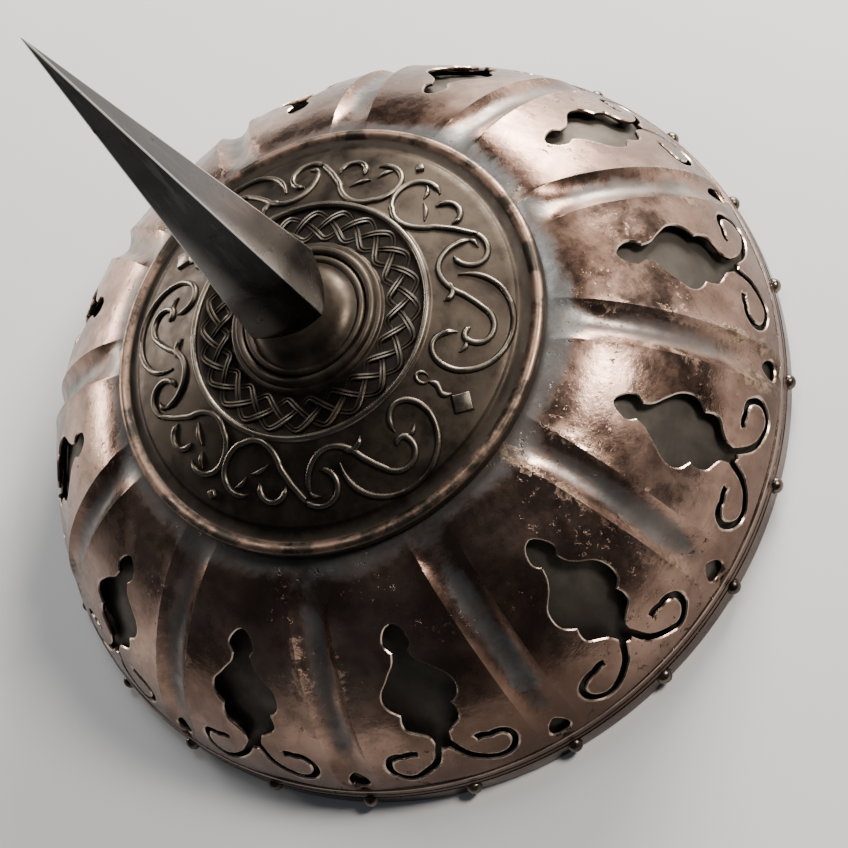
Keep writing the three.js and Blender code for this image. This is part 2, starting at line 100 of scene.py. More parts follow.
class BucklerShape(bpy.types.PropertyGroup):
    """Sizes of the dome and what is cut and beaten into it."""
    panels: bpy.props.IntProperty(
        name="Panels", description="How many panels lie between the flutes", default=12, min=3)
    fullness: bpy.props.FloatProperty(
        name="Fullness", description="Curve of the dome: 1 is a cone and 2 a quarter ellipse",
        default=1.56, min=1.0, max=3.0)
    sheet: bpy.props.FloatProperty(
        name="Sheet", description="Thickness of the dome's metal", default=1.4 * MM, unit="LENGTH")
    flute_width: bpy.props.FloatProperty(
        name="Flute Width", description="Width of a flute from ridge to ridge",
        default=14.8 * MM, unit="LENGTH")
    flute_depth: bpy.props.FloatProperty(
        name="Flute Depth", description="Depth of a flute half way down the dome",
        default=3.0 * MM, unit="LENGTH")
    chamfer: bpy.props.FloatProperty(
        name="Chamfer", description="Width of the filed edge round the piercings",
        default=0.42 * MM, unit="LENGTH")
    unevenness: bpy.props.FloatProperty(
        name="Unevenness", description="How far hand raising leaves the dome from a true curve",
        default=0.3 * MM, unit="LENGTH")


class BucklerRelief(bpy.types.PropertyGroup):
    """Sizes of the boss plate's relief."""
    scroll_width: bpy.props.FloatProperty(
        name="Scroll Width", description="Width of a scroll's strand", default=2.3 * MM, unit="LENGTH")
    plait_width: bpy.props.FloatProperty(
        name="Plait Width", description="Width of one of a plait strand's two wires",
        default=1.05 * MM, unit="LENGTH")
    plait_waves: bpy.props.IntProperty(
        name="Plait Waves", description="Waves of the plait in one round", default=8, min=3)


class BucklerFinish(bpy.types.PropertyGroup):
    """Colours of the metals and the leather."""
    copper: bpy.props.FloatVectorProperty(
        name="Copper", description="The dome's worn metal", default=(0.43, 0.28, 0.215),
        subtype="COLOR", min=0.0, max=1.0)
    tarnish: bpy.props.FloatVectorProperty(
        name="Tarnish", description="The dome's brown tarnish", default=(0.14, 0.084, 0.062),
        subtype="COLOR", min=0.0, max=1.0)
    patina: bpy.props.FloatVectorProperty(
        name="Patina", description="Blue-grey patina in the flutes", default=(0.15, 0.18, 0.185),
        subtype="COLOR", min=0.0, max=1.0)
    bronze: bpy.props.FloatVectorProperty(
        name="Bronze", description="The boss plate's dark ground", default=(0.048, 0.037, 0.029),
        subtype="COLOR", min=0.0, max=1.0)
    worn_bronze: bpy.props.FloatVectorProperty(
        name="Worn Bronze", description="The boss plate's rubbed relief", default=(0.20, 0.168, 0.132),
        subtype="COLOR", min=0.0, max=1.0)
    steel: bpy.props.FloatVectorProperty(
        name="Steel", description="The spike's steel", default=(0.045, 0.043, 0.042),
        subtype="COLOR", min=0.0, max=1.0)
    iron: bpy.props.FloatVectorProperty(
        name="Iron", description="The lining's blackened iron", default=(0.06, 0.052, 0.043),
        subtype="COLOR", min=0.0, max=1.0)
    leather: bpy.props.FloatVectorProperty(
        name="Leather", description="The grip's leather", default=(0.075, 0.034, 0.018),
        subtype="COLOR", min=0.0, max=1.0)


# ---------------------------------------------------------------- small helpers

def smoothstep(value, low, high):
    share = min(1.0, max(0.0, (value - low) / (high - low)))
    return share * share * (3 - 2 * share)


def mix(a, b, share):
    return a + (b - a) * share


def polar(radius, angle, level=0.0):
    return Vector((radius * math.cos(angle), radius * math.sin(angle), level))


def smooth_line(points, steps, closed=False):
    """A Catmull-Rom curve through the points, with that many steps between each two."""
    count = len(points)
    spans = count if closed else count - 1
    line = []
    for i in range(spans):
        if closed:
            a, b, c, d = (points[(i + k) % count] for k in (-1, 0, 1, 2))
        else:
            a, b, c, d = (points[min(max(i + k, 0), count - 1)] for k in (-1, 0, 1, 2))
        for step in range(steps):
            t = step / steps
            line.append(0.5 * (2 * b + (c - a) * t + (2 * a - 5 * b + 4 * c - d) * t ** 2
                               + (3 * b - a - 3 * c + d) * t ** 3))
    if not closed:
        line.append(points[-1].copy())
    return line


def beside(line, distance, closed=False):
    """The line moved sideways, to the left of its direction."""
    count = len(line)
    moved = []
    for i, point in enumerate(line):
        before = line[(i - 1) % count] if closed else line[max(i - 1, 0)]
        after = line[(i + 1) % count] if closed else line[min(i + 1, count - 1)]
        along = (after - before).normalized()
        moved.append(point + Vector((-along.y, along.x)) * distance)
    return moved


def arc(x, y, start, end, first, last, step=9):
    """Points on an arc about (x, y), whose radius changes from start to end."""
    steps = max(2, round(abs(last - first) / step))
    points = []
    for i in range(steps + 1):
        angle = math.radians(mix(first, last, i / steps))
        radius = mix(start, end, i / steps)
        points.append(Vector((x + radius * math.cos(angle), y + radius * math.sin(angle))))
    return points


def object_of(name, bm):
    """A new object holding the bmesh, at the origin."""
    mesh = bpy.data.meshes.new(name)
    bm.to_mesh(mesh)
    bm.free()
    obj = bpy.data.objects.new(name, mesh)
    bpy.context.scene.collection.objects.link(obj)
    return obj


def piece(name, bm, finish, nodes, sharp=35):
    """A finished piece: smooth faces with sharp edges past that angle, its finish and its frame."""
    for face in bm.faces:
        face.smooth = True
    for edge in bm.edges:
        edge.smooth = edge.calc_face_angle(0.0) < math.radians(sharp)
    obj = object_of(name, bm)
    obj.data.materials.append(finish)
    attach(obj, "root")
    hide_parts(*nodes)
    return obj


def evaluated_bmesh(obj):
    """The object's mesh with its modifiers applied; the object is then deleted."""
    evaluated = obj.evaluated_get(bpy.context.evaluated_depsgraph_get())
    bm = bmesh.new()
    bm.from_mesh(evaluated.to_mesh())
    evaluated.to_mesh_clear()
    data = obj.data
    bpy.data.objects.remove(obj)
    if isinstance(data, bpy.types.Mesh):
        bpy.data.meshes.remove(data)
    else:
        bpy.data.curves.remove(data)
    return bm


def boolean(bm, tool, operation):
    """The first bmesh cut by, or cut down to, the second, worked in millimetres for the solver."""
    for part in (bm, tool):
        bmesh.ops.scale(part, vec=(1 / MM, 1 / MM, 1 / MM), verts=part.verts)
    body = object_of("body", bm)
    cutter = object_of("cutter", tool)
    modifier = body.modifiers.new("cut", "BOOLEAN")
    modifier.operation = operation
    modifier.solver = "EXACT"
    modifier.use_self = True
    modifier.object = cutter
    result = evaluated_bmesh(body)
    bmesh.ops.scale(result, vec=(MM, MM, MM), verts=result.verts)
    data = cutter.data
    bpy.data.objects.remove(cutter)
    bpy.data.meshes.remove(data)
    return result


def append(bm, other):
    """Adds the other bmesh's geometry, and frees it."""
    mesh = bpy.data.meshes.new("part")
    other.to_mesh(mesh)
    other.free()
    bm.from_mesh(mesh)
    bpy.data.meshes.remove(mesh)


def turned(profile, steps, closed=True):
    """A profile of (radius, level) points turned round the Z axis."""
    bm = bmesh.new()
    verts = [bm.verts.new((radius, 0, level)) for radius, level in profile]
    edges = [bm.edges.new(pair) for pair in zip(verts, verts[1:])]
    if closed:
        edges.append(bm.edges.new((verts[-1], verts[0])))
    bmesh.ops.spin(bm, geom=verts + edges, cent=(0, 0, 0), axis=(0, 0, 1),
                   angle=2 * math.pi, steps=steps, use_merge=True)
    bmesh.ops.remove_doubles(bm, verts=bm.verts, dist=1e-6)
    bmesh.ops.recalc_face_normals(bm, faces=bm.faces)
    return bm


def prism(loops):
    """A closed body through loops of points, each loop a flat polygon at its own level."""
    bm = bmesh.new()
    rings = []
    for points, level in loops:
        verts = [bm.verts.new((point.x, point.y, level)) for point in points]
        rings.append([bm.edges.new(pair) for pair in zip(verts, verts[1:] + verts[:1])])
        if level in (loops[0][1], loops[-1][1]):
            bm.faces.new(verts)
    for low, high in zip(rings, rings[1:]):
        bmesh.ops.bridge_loops(bm, edges=low + high)
    bmesh.ops.recalc_face_normals(bm, faces=bm.faces)
    return bm


# ---------------------------------------------------------------- finishes

class Finish:
    """A metal or leather made of nodes: patterns on Object coordinates feed one Principled shader."""

    def __init__(self, name, metallic, roughness, color):
        self.material = bpy.data.materials.new(name)
        self.material.use_nodes = True
        self.material.diffuse_color = (*color, 1.0)
        self.nodes = self.material.node_tree.nodes
        self.links = self.material.node_tree.links
        self.shader = self.nodes["Principled BSDF"]
        self.shader.inputs["Metallic"].default_value = metallic
        self.shader.inputs["Roughness"].default_value = roughness
        self.shader.inputs["Base Color"].default_value = (*color, 1.0)
        self.place = self.nodes.new("ShaderNodeTexCoord").outputs["Object"]

    def feed(self, socket, value):
        """Links a node's output to a socket, or sets the socket to a plain value."""
        if isinstance(value, bpy.types.NodeSocket):
            self.links.new(value, socket)
        elif hasattr(value, "__len__"):
            socket.default_value = (*value, 1.0) if len(value) == 3 else tuple(value)
        else:
            socket.default_value = value

    def grain(self, scale, detail=4.0, roughness=0.55, distortion=0.0, place=None):
        node = self.nodes.new("ShaderNodeTexNoise")
        self.links.new(place or self.place, node.inputs["Vector"])
        node.inputs["Scale"].default_value = scale
        node.inputs["Detail"].default_value = detail
        node.inputs["Roughness"].default_value = roughness
        node.inputs["Distortion"].default_value = distortion
        return node.outputs[0]

    def dents(self, scale, smoothness=0.6):
        node = self.nodes.new("ShaderNodeTexVoronoi")
        node.feature = "SMOOTH_F1"
        self.links.new(self.place, node.inputs["Vector"])
        node.inputs["Scale"].default_value = scale
        node.inputs["Smoothness"].default_value = smoothness
        return node.outputs["Distance"]

    def stretched(self, factors):
        """Object coordinates stretched along the axes."""
        node = self.nodes.new("ShaderNodeMapping")
        node.inputs["Scale"].default_value = factors
        self.links.new(self.place, node.inputs["Vector"])
        return node.outputs[0]

    def measure(self, name):
        """A number stored on the piece's points."""
        node = self.nodes.new("ShaderNodeAttribute")
        node.attribute_name = name
        return node.outputs["Fac"]

    def span(self, value, low, high, new_low=0.0, new_high=1.0, smooth=True):
        """The value's stretch from low to high, spread over new_low to new_high and clamped."""
        node = self.nodes.new("ShaderNodeMapRange")
        node.interpolation_type = "SMOOTHSTEP" if smooth else "LINEAR"
        self.feed(node.inputs["Value"], value)
        node.inputs["From Min"].default_value = low
        node.inputs["From Max"].default_value = high
        node.inputs["To Min"].default_value = new_low
        node.inputs["To Max"].default_value = new_high
        return node.outputs["Result"]

    def math(self, operation, a, b=0.0, clamp=False):
        node = self.nodes.new("ShaderNodeMath")
        node.operation = operation
        node.use_clamp = clamp
        self.feed(node.inputs[0], a)
        self.feed(node.inputs[1], b)
        return node.outputs[0]

    def blend(self, share, a, b):
        """Colour a where share is 0, and b where it is 1."""
        node = self.nodes.new("ShaderNodeMix")
        node.data_type = "RGBA"
        self.feed(node.inputs[0], share)
        self.feed(node.inputs[6], a)
        self.feed(node.inputs[7], b)
        return node.outputs[2]

    def bump(self, height, distance, strength=1.0, under=None):
        node = self.nodes.new("ShaderNodeBump")
        node.inputs["Strength"].default_value = strength
        node.inputs["Distance"].default_value = distance
        self.feed(node.inputs["Height"], height)
        if under:
            self.links.new(under, node.inputs["Normal"])
        return node.outputs[0]

    def show(self, color=None, roughness=None, metallic=None, normal=None):
        for name, value in (("Base Color", color), ("Roughness", roughness),
                            ("Metallic", metallic), ("Normal", normal)):
            if value is not None:
                self.feed(self.shader.inputs[name], value)
        return self.material


def copper_finish(colours):
    """Aged copper: rosy brown, with crisp patches of blue-grey patina, corrosion and pitting, painted shade
    in the cut walls and towards the rim, and pale cut edges that are partly a painted highlight.
    """
    f = Finish("aged_copper", 1.0, 0.3, colours.copper)
    color = f.blend(f.span(f.grain(17, 5, 0.55, 0.3), 0.4, 0.66), colours.tarnish, colours.copper)
    color = f.blend(f.span(f.grain(75, 8, 0.7, 0.4), 0.46, 0.62, 0.0, 0.45), color, (0.12, 0.07, 0.05))
    # painted shade: darkens the dome towards the rim and the turned-down rim band
    color = f.blend(f.span(f.measure("rim_shade"), 0.0, 1.0, 0.0, 0.8), color, (0.05, 0.032, 0.025))
    low = f.math("ADD", f.measure("hollow"), f.measure("crown"), clamp=True)
    ragged = f.math("ADD", f.math("MULTIPLY", low, 0.5), f.grain(30, 9, 0.75, 0.6))
    patina_share = f.span(ragged, 0.74, 0.98, 0.0, 0.62)
    patina = f.blend(f.span(f.grain(120, 6, 0.7), 0.35, 0.65), colours.patina, (0.07, 0.085, 0.088))
    color = f.blend(patina_share, color, patina)
    near_ridge = f.math("ADD", f.math("MULTIPLY", f.measure("ridge"), 0.16), f.grain(46, 9, 0.78, 0.7))
    crust_share = f.math("MULTIPLY", f.span(near_ridge, 0.64, 0.72, 0.0, 0.8),
                         f.span(f.grain(13, 2), 0.52, 0.62))
    crust = f.blend(f.span(f.grain(330, 5, 0.7), 0.42, 0.58), (0.085, 0.055, 0.038), (0.36, 0.255, 0.17))
    color = f.blend(crust_share, color, crust)
    pits = f.span(f.grain(380, 4, 0.72), 0.60, 0.68)
    pit_share = f.math("MULTIPLY", pits, f.span(f.grain(27, 4), 0.5, 0.6, 0.05, 0.9))
    color = f.blend(pit_share, color, (0.03, 0.02, 0.015))
    # pale filed edges round the piercings: partly bright filed metal, partly a painted highlight
    edge = f.math("MULTIPLY", f.span(f.measure("edge"), 0.4, 0.95, 0.0, 0.7),
                  f.span(f.grain(75, 3), 0.35, 0.6, 0.3, 1.0))
    color = f.blend(edge, color, (0.78, 0.62, 0.50))
    # painted shade on the lower part of the cut walls and on the sheet's back
    color = f.blend(f.span(f.measure("inside"), 0.2, 0.9, 0.0, 0.8), color, (0.03, 0.022, 0.018))
    dull = f.math("ADD", f.math("MULTIPLY", patina_share, 0.2), f.math("MULTIPLY", crust_share, 0.25))
    roughness = f.math("ADD", f.span(f.grain(60, 6, 0.7), 0.3, 0.7, 0.17, 0.36), dull, clamp=True)
    metallic = f.math("SUBTRACT", 1.0, f.math("MULTIPLY", patina_share, 0.45))
    normal = f.bump(f.grain(110, 5, 0.6), 0.5 * MM, 0.4)
    normal = f.bump(f.math("SUBTRACT", crust_share, pit_share), 0.3 * MM, 0.6, normal)
    normal = f.bump(f.grain(1300, 3), 0.06 * MM, 0.35, normal)
    return f.show(color, roughness, metallic, normal)


def bronze_finish(colours):
    """Dark waxed bronze, rubbed paler on the crests of its relief, coppery on the lip, and with painted
    shade in its recesses.
    """
    f = Finish("dark_bronze", 1.0, 0.42, colours.bronze)
    ground = f.blend(f.span(f.grain(55, 5, 0.6, 0.4), 0.35, 0.65), colours.bronze, (0.072, 0.056, 0.042))
    worn = f.math("MULTIPLY", f.span(f.measure("crest"), 0.3, 1.0),
                  f.span(f.grain(85, 4, 0.6), 0.28, 0.62, 0.3, 1.0))
    color = f.blend(worn, ground, colours.worn_bronze)
    copper = f.math("MULTIPLY", f.measure("lip"), f.span(f.grain(60, 7, 0.7), 0.42, 0.56))
    color = f.blend(copper, color, (0.36, 0.23, 0.165))
    # painted shade in the plait band's recessed ground and in the channel inside the lip
    color = f.blend(f.math("MULTIPLY", f.measure("recess_shade"), 0.8), color, (0.014, 0.011, 0.009))
    roughness = f.span(f.grain(110, 5, 0.65), 0.3, 0.7, 0.36, 0.58)
    roughness = f.math("SUBTRACT", roughness, f.math("MULTIPLY", worn, 0.14), clamp=True)
    normal = f.bump(f.grain(210, 4, 0.6), 0.2 * MM, 0.35)
    normal = f.bump(f.grain(1500, 3), 0.05 * MM, 0.4, normal)
    return f.show(color, roughness, None, normal)


def steel_finish(colours):
    """Dark ground steel, with fine scratches along its length and a paler edge, partly rubbed and partly a
    painted highlight.
    """
    f = Finish("spike_steel", 1.0, 0.28, colours.steel)
    along = f.grain(420, 3, 0.6, 0.0, f.stretched((1.0, 1.0, 0.05)))
    clouds = f.grain(32, 5, 0.6, 0.3)
    color = f.blend(f.span(clouds, 0.35, 0.65), (0.026, 0.025, 0.025), colours.steel)
    color = f.blend(f.span(along, 0.55, 0.7, 0.0, 0.4), color, (0.10, 0.096, 0.092))
    # the pale arris: partly rubbed steel, partly a painted highlight
    color = f.blend(f.span(f.measure("arris"), 0.4, 0.95), color, (0.50, 0.48, 0.46))
    spots = f.span(f.grain(160, 4, 0.7), 0.62, 0.72)
    color = f.blend(spots, color, (0.03, 0.022, 0.017))
    roughness = f.math("ADD", f.span(clouds, 0.3, 0.7, 0.2, 0.33), f.math("MULTIPLY", spots, 0.25))
    normal = f.bump(along, 0.08 * MM, 0.35)
    normal = f.bump(f.grain(45, 2), 0.6 * MM, 0.25, normal)
    return f.show(color, roughness, None, normal)


def iron_finish(name, colours, dent_scale):
    """Blackened, hammered iron with a little rust bloom."""
    f = Finish(name, 0.85, 0.58, colours.iron)
    color = f.blend(f.span(f.grain(40, 6, 0.65, 0.5), 0.35, 0.68), colours.iron, (0.105, 0.09, 0.074))
    rust = f.span(f.grain(90, 5, 0.7), 0.58, 0.72, 0.0, 0.55)
    color = f.blend(rust, color, (0.11, 0.055, 0.03))
    roughness = f.span(f.grain(75, 4), 0.3, 0.7, 0.48, 0.72)
    normal = f.bump(f.dents(dent_scale), 1.0 * MM, 0.45)
    normal = f.bump(f.grain(260, 4, 0.65), 0.2 * MM, 0.5, normal)
    return f.show(color, roughness, None, normal)


def rivet_finish(colours):
    """Burnished iron rivet heads, mottled dark and brown."""
    f = Finish("rivet_iron", 1.0, 0.3, (0.2, 0.18, 0.165))
    color = f.blend(f.span(f.grain(190, 4), 0.35, 0.65), (0.05, 0.04, 0.033), (0.17, 0.14, 0.11))
    normal = f.bump(f.grain(520, 3), 0.12 * MM, 0.5)
    return f.show(color, f.span(f.grain(240, 3), 0.3, 0.7, 0.2, 0.42), None, normal)


def leather_finish(colours):
    """Dark waxed leather, creased across and rubbed paler along its raised edges."""
    f = Finish("grip_leather", 0.0, 0.6, colours.leather)
    color = f.blend(f.span(f.grain(60, 5, 0.6), 0.35, 0.68), colours.leather, (0.15, 0.075, 0.04))
    color = f.blend(f.span(f.measure("rubbed"), 0.45, 1.0, 0.0, 0.7), color, (0.25, 0.145, 0.085))
    pores = f.dents(900, 0.3)
    roughness = f.span(f.grain(90, 4), 0.3, 0.7, 0.45, 0.72)
    normal = f.bump(pores, 0.18 * MM, 0.5)
    normal = f.bump(f.grain(240, 4, 0.6, 1.0), 0.3 * MM, 0.4, normal)
    return f.show(color, roughness, None, normal)


# ---------------------------------------------------------------- the dome

class Dome:
    """The dome's curve, measured over the metal from the edge of its crown down to the rim."""

    def __init__(self, fullness, steps=800):
        self.points = []
        self.distances = []
        for i in range(steps + 1):
            share = (1 - i / steps) ** 2
            radius = mix(RIM_RADIUS, CROWN_RADIUS, share)
            level = CROWN_LEVEL * (1 - (1 - share) ** fullness) ** (1 / fullness)
            point = Vector((radius, level))
            last = self.points[-1] if self.points else point
            self.distances.append((self.distances[-1] if self.distances else 0.0) + (point - last).length)
            self.points.append(point)

    def at(self, along, height=0.0):
        """(radius, level) at a distance over the dome, raised along its normal."""
        if along <= 0:
            return Vector((CROWN_RADIUS + along, CROWN_LEVEL + height))
        i = min(bisect.bisect_left(self.distances, along), len(self.points) - 1)
        a, b = self.points[i - 1], self.points[i]
        share = (along - self.distances[i - 1]) / (self.distances[i] - self.distances[i - 1])
        down = (b - a).normalized()
        return a.lerp(b, share) + Vector((-down.y, down.x)) * height


def flute_share(along):
    """How deep a flute is at a distance over the dome, as a share of its full depth."""
    start = smoothstep(along, -2 * MM, FLUTE_FULL)
    return start * (1 - FLUTE_LOSS * smoothstep(along, FLUTE_FADE, FLUTE_END))


def flute_half_width(along, width):
    """Half the flute's width, which closes in a round end by the rim band."""
    end = min(1.0, max(0.0, (along - FLUTE_END + width / 2) / (width / 2)))
    return max(width / 2 * math.sqrt(1 - end * end), 0.2 * MM)


def panel_surface(shape, along, from_flute):
    """Height of the beaten surface over the true curve, and how far into a flute the place is."""
    half = flute_half_width(along, shape.flute_width)
    share = flute_share(along)
    offset = from_flute / half
    swell = 0.7 * MM * share * math.exp(-max(0.0, from_flute - half) / (3.5 * MM))
    if offset < 1:
        depth = 1 - offset ** 2
        return swell * offset ** 2 - shape.flute_depth * share * depth, depth * share
    return swell, 0.0


# The piercing is drawn flat in millimetres: x down over the dome and y aside, one half of it.
LEAF_RUNS = (
    ((27.2, 0), (28.2, 2.0), (31, 3.9), (34.2, 4.5), (37, 2.9)),
    ((37, 2.9), (41, 4.3), (45.4, 8.1), (50, 11.8), (54.4, 13.1), (58.2, 12.0), (60.9, 9.2)),
    ((60.9, 9.2), (64.2, 9.9), (67.6, 9.2), (70.2, 6.0), (72.6, 3.6), (76.4, 2.7)),
)
SLOT_END = ((78.7, 11.0), (78.2, 13.2))
VOLUTE = (84.2, 17.0, 5.4, 7.0, 190, -28)
SLOT_BEND = ((88.2, 9.6), (84.6, 5.6), (80.2, 3.1), (76.0, 1.3))
SLOT_HALF_WIDTH = 1.15
FORK = (79.6, 0)  # where the two slots part
FORK_CLEAR = 3.2  # a slot's inner edge starts this far from the leaf's foot
EYE = (91.0, 3.9, 3.6)  # middle, half its length and half its width


def slot_centre():
    volute = arc(*VOLUTE, step=14)
    line = [Vector(point) for point in SLOT_END] + volute + [Vector(point) for point in SLOT_BEND]
    return smooth_line(line, 3)


def piercing_outline(jitter):
    """The whole piercing: leaf, fork and two curled slots, each point moved a little by jitter."""
    half = []
    for run in LEAF_RUNS[:-1]:
        half += smooth_line([Vector(point) for point in run], 5)[:-1]
    tail = smooth_line([Vector(point) for point in LEAF_RUNS[-1]], 5)
    line = slot_centre()
    inner = beside(line, -SLOT_HALF_WIDTH)
    outer = beside(line, SLOT_HALF_WIDTH)
    start = next(i for i, point in enumerate(reversed(inner)) if (point - tail[-1]).length > FORK_CLEAR)
    half += tail + list(reversed(inner))[start:] + outer[:-2] + [Vector(FORK)]
    mirrored = [Vector((point.x, -point.y)) for point in reversed(half[1:-1])]
    outline = []
    for point in half + mirrored:
        outline.append((point + jitter(point)) * MM)
    return outline


def hand_cut(seed):
    """Small, smooth errors of a hand-cut outline, in millimetres."""
    shift = Vector((seed * 3.7, seed * 1.3, 0))

    def jitter(point):
        place = Vector((point.x * 0.11, point.y * 0.11, 0)) + shift
        return Vector((noise.noise(place), noise.noise(place + Vector((0, 0, 9))))) * 0.7

    return jitter


def eye_outline(side, half_width):
    along, length, width = EYE
    points = []
    for i in range(20):
        angle = i / 20 * 2 * math.pi
        pinch = 1 - 0.28 * math.cos(angle)
        points.append(Vector((along - length * math.cos(angle), width * pinch * math.sin(angle))) * MM)
    return [Vector((point.x, side * half_width + point.y)) for point in points]


def cutter(outline, sheet, chamfer):
    """A punch for one outline, which flares above the sheet's face to leave a filed edge."""
    area = sum(a.x * b.y - b.x * a.y for a, b in zip(outline, outline[1:] + outline[:1]))
    out = -1 if area > 0 else 1
    flared = beside(outline, out * 2 * chamfer, closed=True)
    return prism([(outline, -2 * sheet), (outline, -chamfer), (flared, chamfer)])


FLUTE_COLUMNS = (0, 1.3, 2.6, 3.9, 5.1, 6.2, 7.0, 7.4, 7.9, 8.9, 10.6)
PANEL_COLUMNS = 12
ROWS = 58
TUCK = 12 * MM  # the flat crown that runs in under the boss plate
CUT_TRIES = 8
CUT_SHARE = (0.8, 0.9)  # what a well cut panel keeps of its metal
FACE_DEPTH = 0.8 * MM  # deeper than this is the sheet's back and the lower part of its cut walls
SEAM_REACH = 4e-6
SEAM_MERGE = 0.012 * MM


def flat_panel(shape, dome):
    """One panel laid flat, with columns gathered in the two half flutes at its sides."""
    columns = len(FLUTE_COLUMNS) - 1 + PANEL_COLUMNS
    bm = bmesh.new()
    bmesh.ops.create_grid(bm, x_segments=ROWS, y_segments=2 * columns, size=1.0)
    for vert in bm.verts:
        along = mix(-TUCK, DOME_END, (vert.co.x + 1) / 2)
        column = round((1 - abs(vert.co.y)) * columns)
        half = dome.at(along).x * math.pi / shape.panels
        if column < len(FLUTE_COLUMNS):
            from_flute = FLUTE_COLUMNS[column] * MM
        else:
            share = (column - len(FLUTE_COLUMNS) + 1) / PANEL_COLUMNS
            from_flute = mix(FLUTE_COLUMNS[-1] * MM, half, share)
        vert.co = (along, math.copysign(half - from_flute, vert.co.y), 0)
    extruded = bmesh.ops.extrude_face_region(bm, geom=bm.faces[:])
    lower = [item for item in extruded["geom"] if isinstance(item, bmesh.types.BMVert)]
    bmesh.ops.translate(bm, verts=lower, vec=(0, 0, -shape.sheet))
    bmesh.ops.recalc_face_normals(bm, faces=bm.faces)
    return bm


def pierced_panel(shape, dome, panel):
    """A flat panel with its piercing and the halves of two eyes cut out, and what the finish reads."""
    half = dome.at(EYE[0] * MM).x * math.pi / shape.panels
    eyes = [eye_outline(side, half) for side in (-1, 1)]
    for attempt in range(CUT_TRIES):
        outline = piercing_outline(hand_cut(panel + 1 + attempt * shape.panels))
        tool = cutter(outline, shape.sheet, shape.chamfer)
        for eye in eyes:
            append(tool, cutter(eye, shape.sheet, shape.chamfer))
        whole = flat_panel(shape, dome)
        full = whole.calc_volume()
        bm = boolean(whole, tool, "DIFFERENCE")
        if CUT_SHARE[0] < bm.calc_volume() / full < CUT_SHARE[1]:
            break
        bm.free()
    else:
        raise RuntimeError("The piercing couldn't be cut out of a panel")
    tree = KDTree(len(outline) + 40)
    for i, point in enumerate(outline + eyes[0] + eyes[1]):
        tree.insert((point.x, point.y, 0), i)
    tree.balance()
    names = ("hollow", "ridge", "crown", "edge", "inside", "rim_shade")
    layers = {name: bm.verts.layers.float.new(name) for name in names}
    seams = [face for face in bm.faces if all(on_seam(shape, dome, vert.co) for vert in face.verts)]
    bmesh.ops.delete(bm, geom=seams, context="FACES_ONLY")
    for vert in bm.verts:
        along, aside, level = vert.co
        half = dome.at(along).x * math.pi / shape.panels
        from_flute = max(0.0, half - abs(aside))
        height, hollow = panel_surface(shape, along, from_flute)
        ridge = abs(from_flute - flute_half_width(along, shape.flute_width))
        from_cut = tree.find((along, aside, 0))[2]
        vert[layers["hollow"]] = hollow
        vert[layers["ridge"]] = math.exp(-(ridge / (3.5 * MM)) ** 2)
        vert[layers["crown"]] = 1 - smoothstep(along, 2 * MM, 17 * MM)
        # edge: the pale filed edge, partly a painted highlight
        vert[layers["edge"]] = math.exp(-(from_cut / (0.9 * MM)) ** 2) if level > -FACE_DEPTH else 0.0
        # inside: painted shade below the face
        vert[layers["inside"]] = 1.0 if level < -FACE_DEPTH else 0.0
        # painted shade, growing towards the rim
        vert[layers["rim_shade"]] = 0.75 * smoothstep(along, 58 * MM, 98 * MM)
        vert.co.z = level + height
    return bm


def on_seam(shape, dome, place):
    half = dome.at(place.x).x * math.pi / shape.panels
    return abs(half - abs(place.y)) < SEAM_REACH


def raise_panel(bm, shape, dome, panel):
    """Bends a flat panel over the dome at its place in the round, a little uneven from the hammer."""
    for vert in bm.verts:
        along, aside, height = vert.co
        radius = dome.at(along).x
        uneven = shape.unevenness * smoothstep(along, 4 * MM, 20 * MM)
        place = dome.at(along, height)
        angle = aside / radius + panel / shape.panels * 2 * math.pi
        vert.co = polar(place.x, angle, place.y)
        normal = (vert.co - Vector((0, 0, -0.03))).normalized()
        vert.co += normal * uneven * (noise.noise(vert.co * 38) - 0.35 * math.sin(angle * 5 + 1))


def rim_band(dome):
    """The turned-down band round the rim, with two fine grooves, as a closed ring."""
    top = dome.at(97 * MM, 0.1 * MM)
    outside = [(RIM_RADIUS - 0.5 * MM, 0.0), (RIM_RADIUS - 0.05 * MM, 0.5 * MM)]
    for level in (1.6, 6.9, 7.25, 7.6, 8.7, 9.0, 9.3, 10.4, 11.0, 11.4):
        depth = 0.35 if level in (7.25, 9.0) else 0.0
        share = smoothstep(level, 4.0, 11.4)
        radius = mix(RIM_RADIUS / MM - 0.05, top.x / MM + 0.65, share)
        outside.append(((radius - depth) * MM, level * MM))
    outside += [(top.x + 0.35 * MM, 11.8 * MM), (top.x - 0.6 * MM, 11.9 * MM)]
    inside = [(RIM_RADIUS - 2.2 * MM, 8 * MM), (RIM_RADIUS - 1.9 * MM, 0.5 * MM),
              (RIM_RADIUS - 1.5 * MM, 0.0)]
    return turned(outside + inside, 288)


def make_dome(shape, finish):
    dome = Dome(shape.fullness)
    bm = bmesh.new()
    for panel in range(shape.panels):
        part = pierced_panel(shape, dome, panel)
        raise_panel(part, shape, dome, panel)
        append(bm, part)
    bmesh.ops.remove_doubles(bm, verts=bm.verts, dist=SEAM_MERGE)
    bmesh.ops.dissolve_degenerate(bm, edges=bm.edges, dist=1e-6)
    bmesh.ops.recalc_face_normals(bm, faces=bm.faces)
    band = rim_band(dome)
    edge = band.verts.layers.float.new("edge")
    rim_shade = band.verts.layers.float.new("rim_shade")
    # a painted highlight along the band's top edge, and painted shade over the rest of the band
    for vert in band.verts:
        vert[edge] = 0.6 * smoothstep(vert.co.z, 10.6 * MM, 11.4 * MM)
        vert[rim_shade] = 1 - vert[edge]
    append(bm, band)
    return piece("dome_shell", bm, finish, ["shell"])


# ---------------------------------------------------------------- the lining

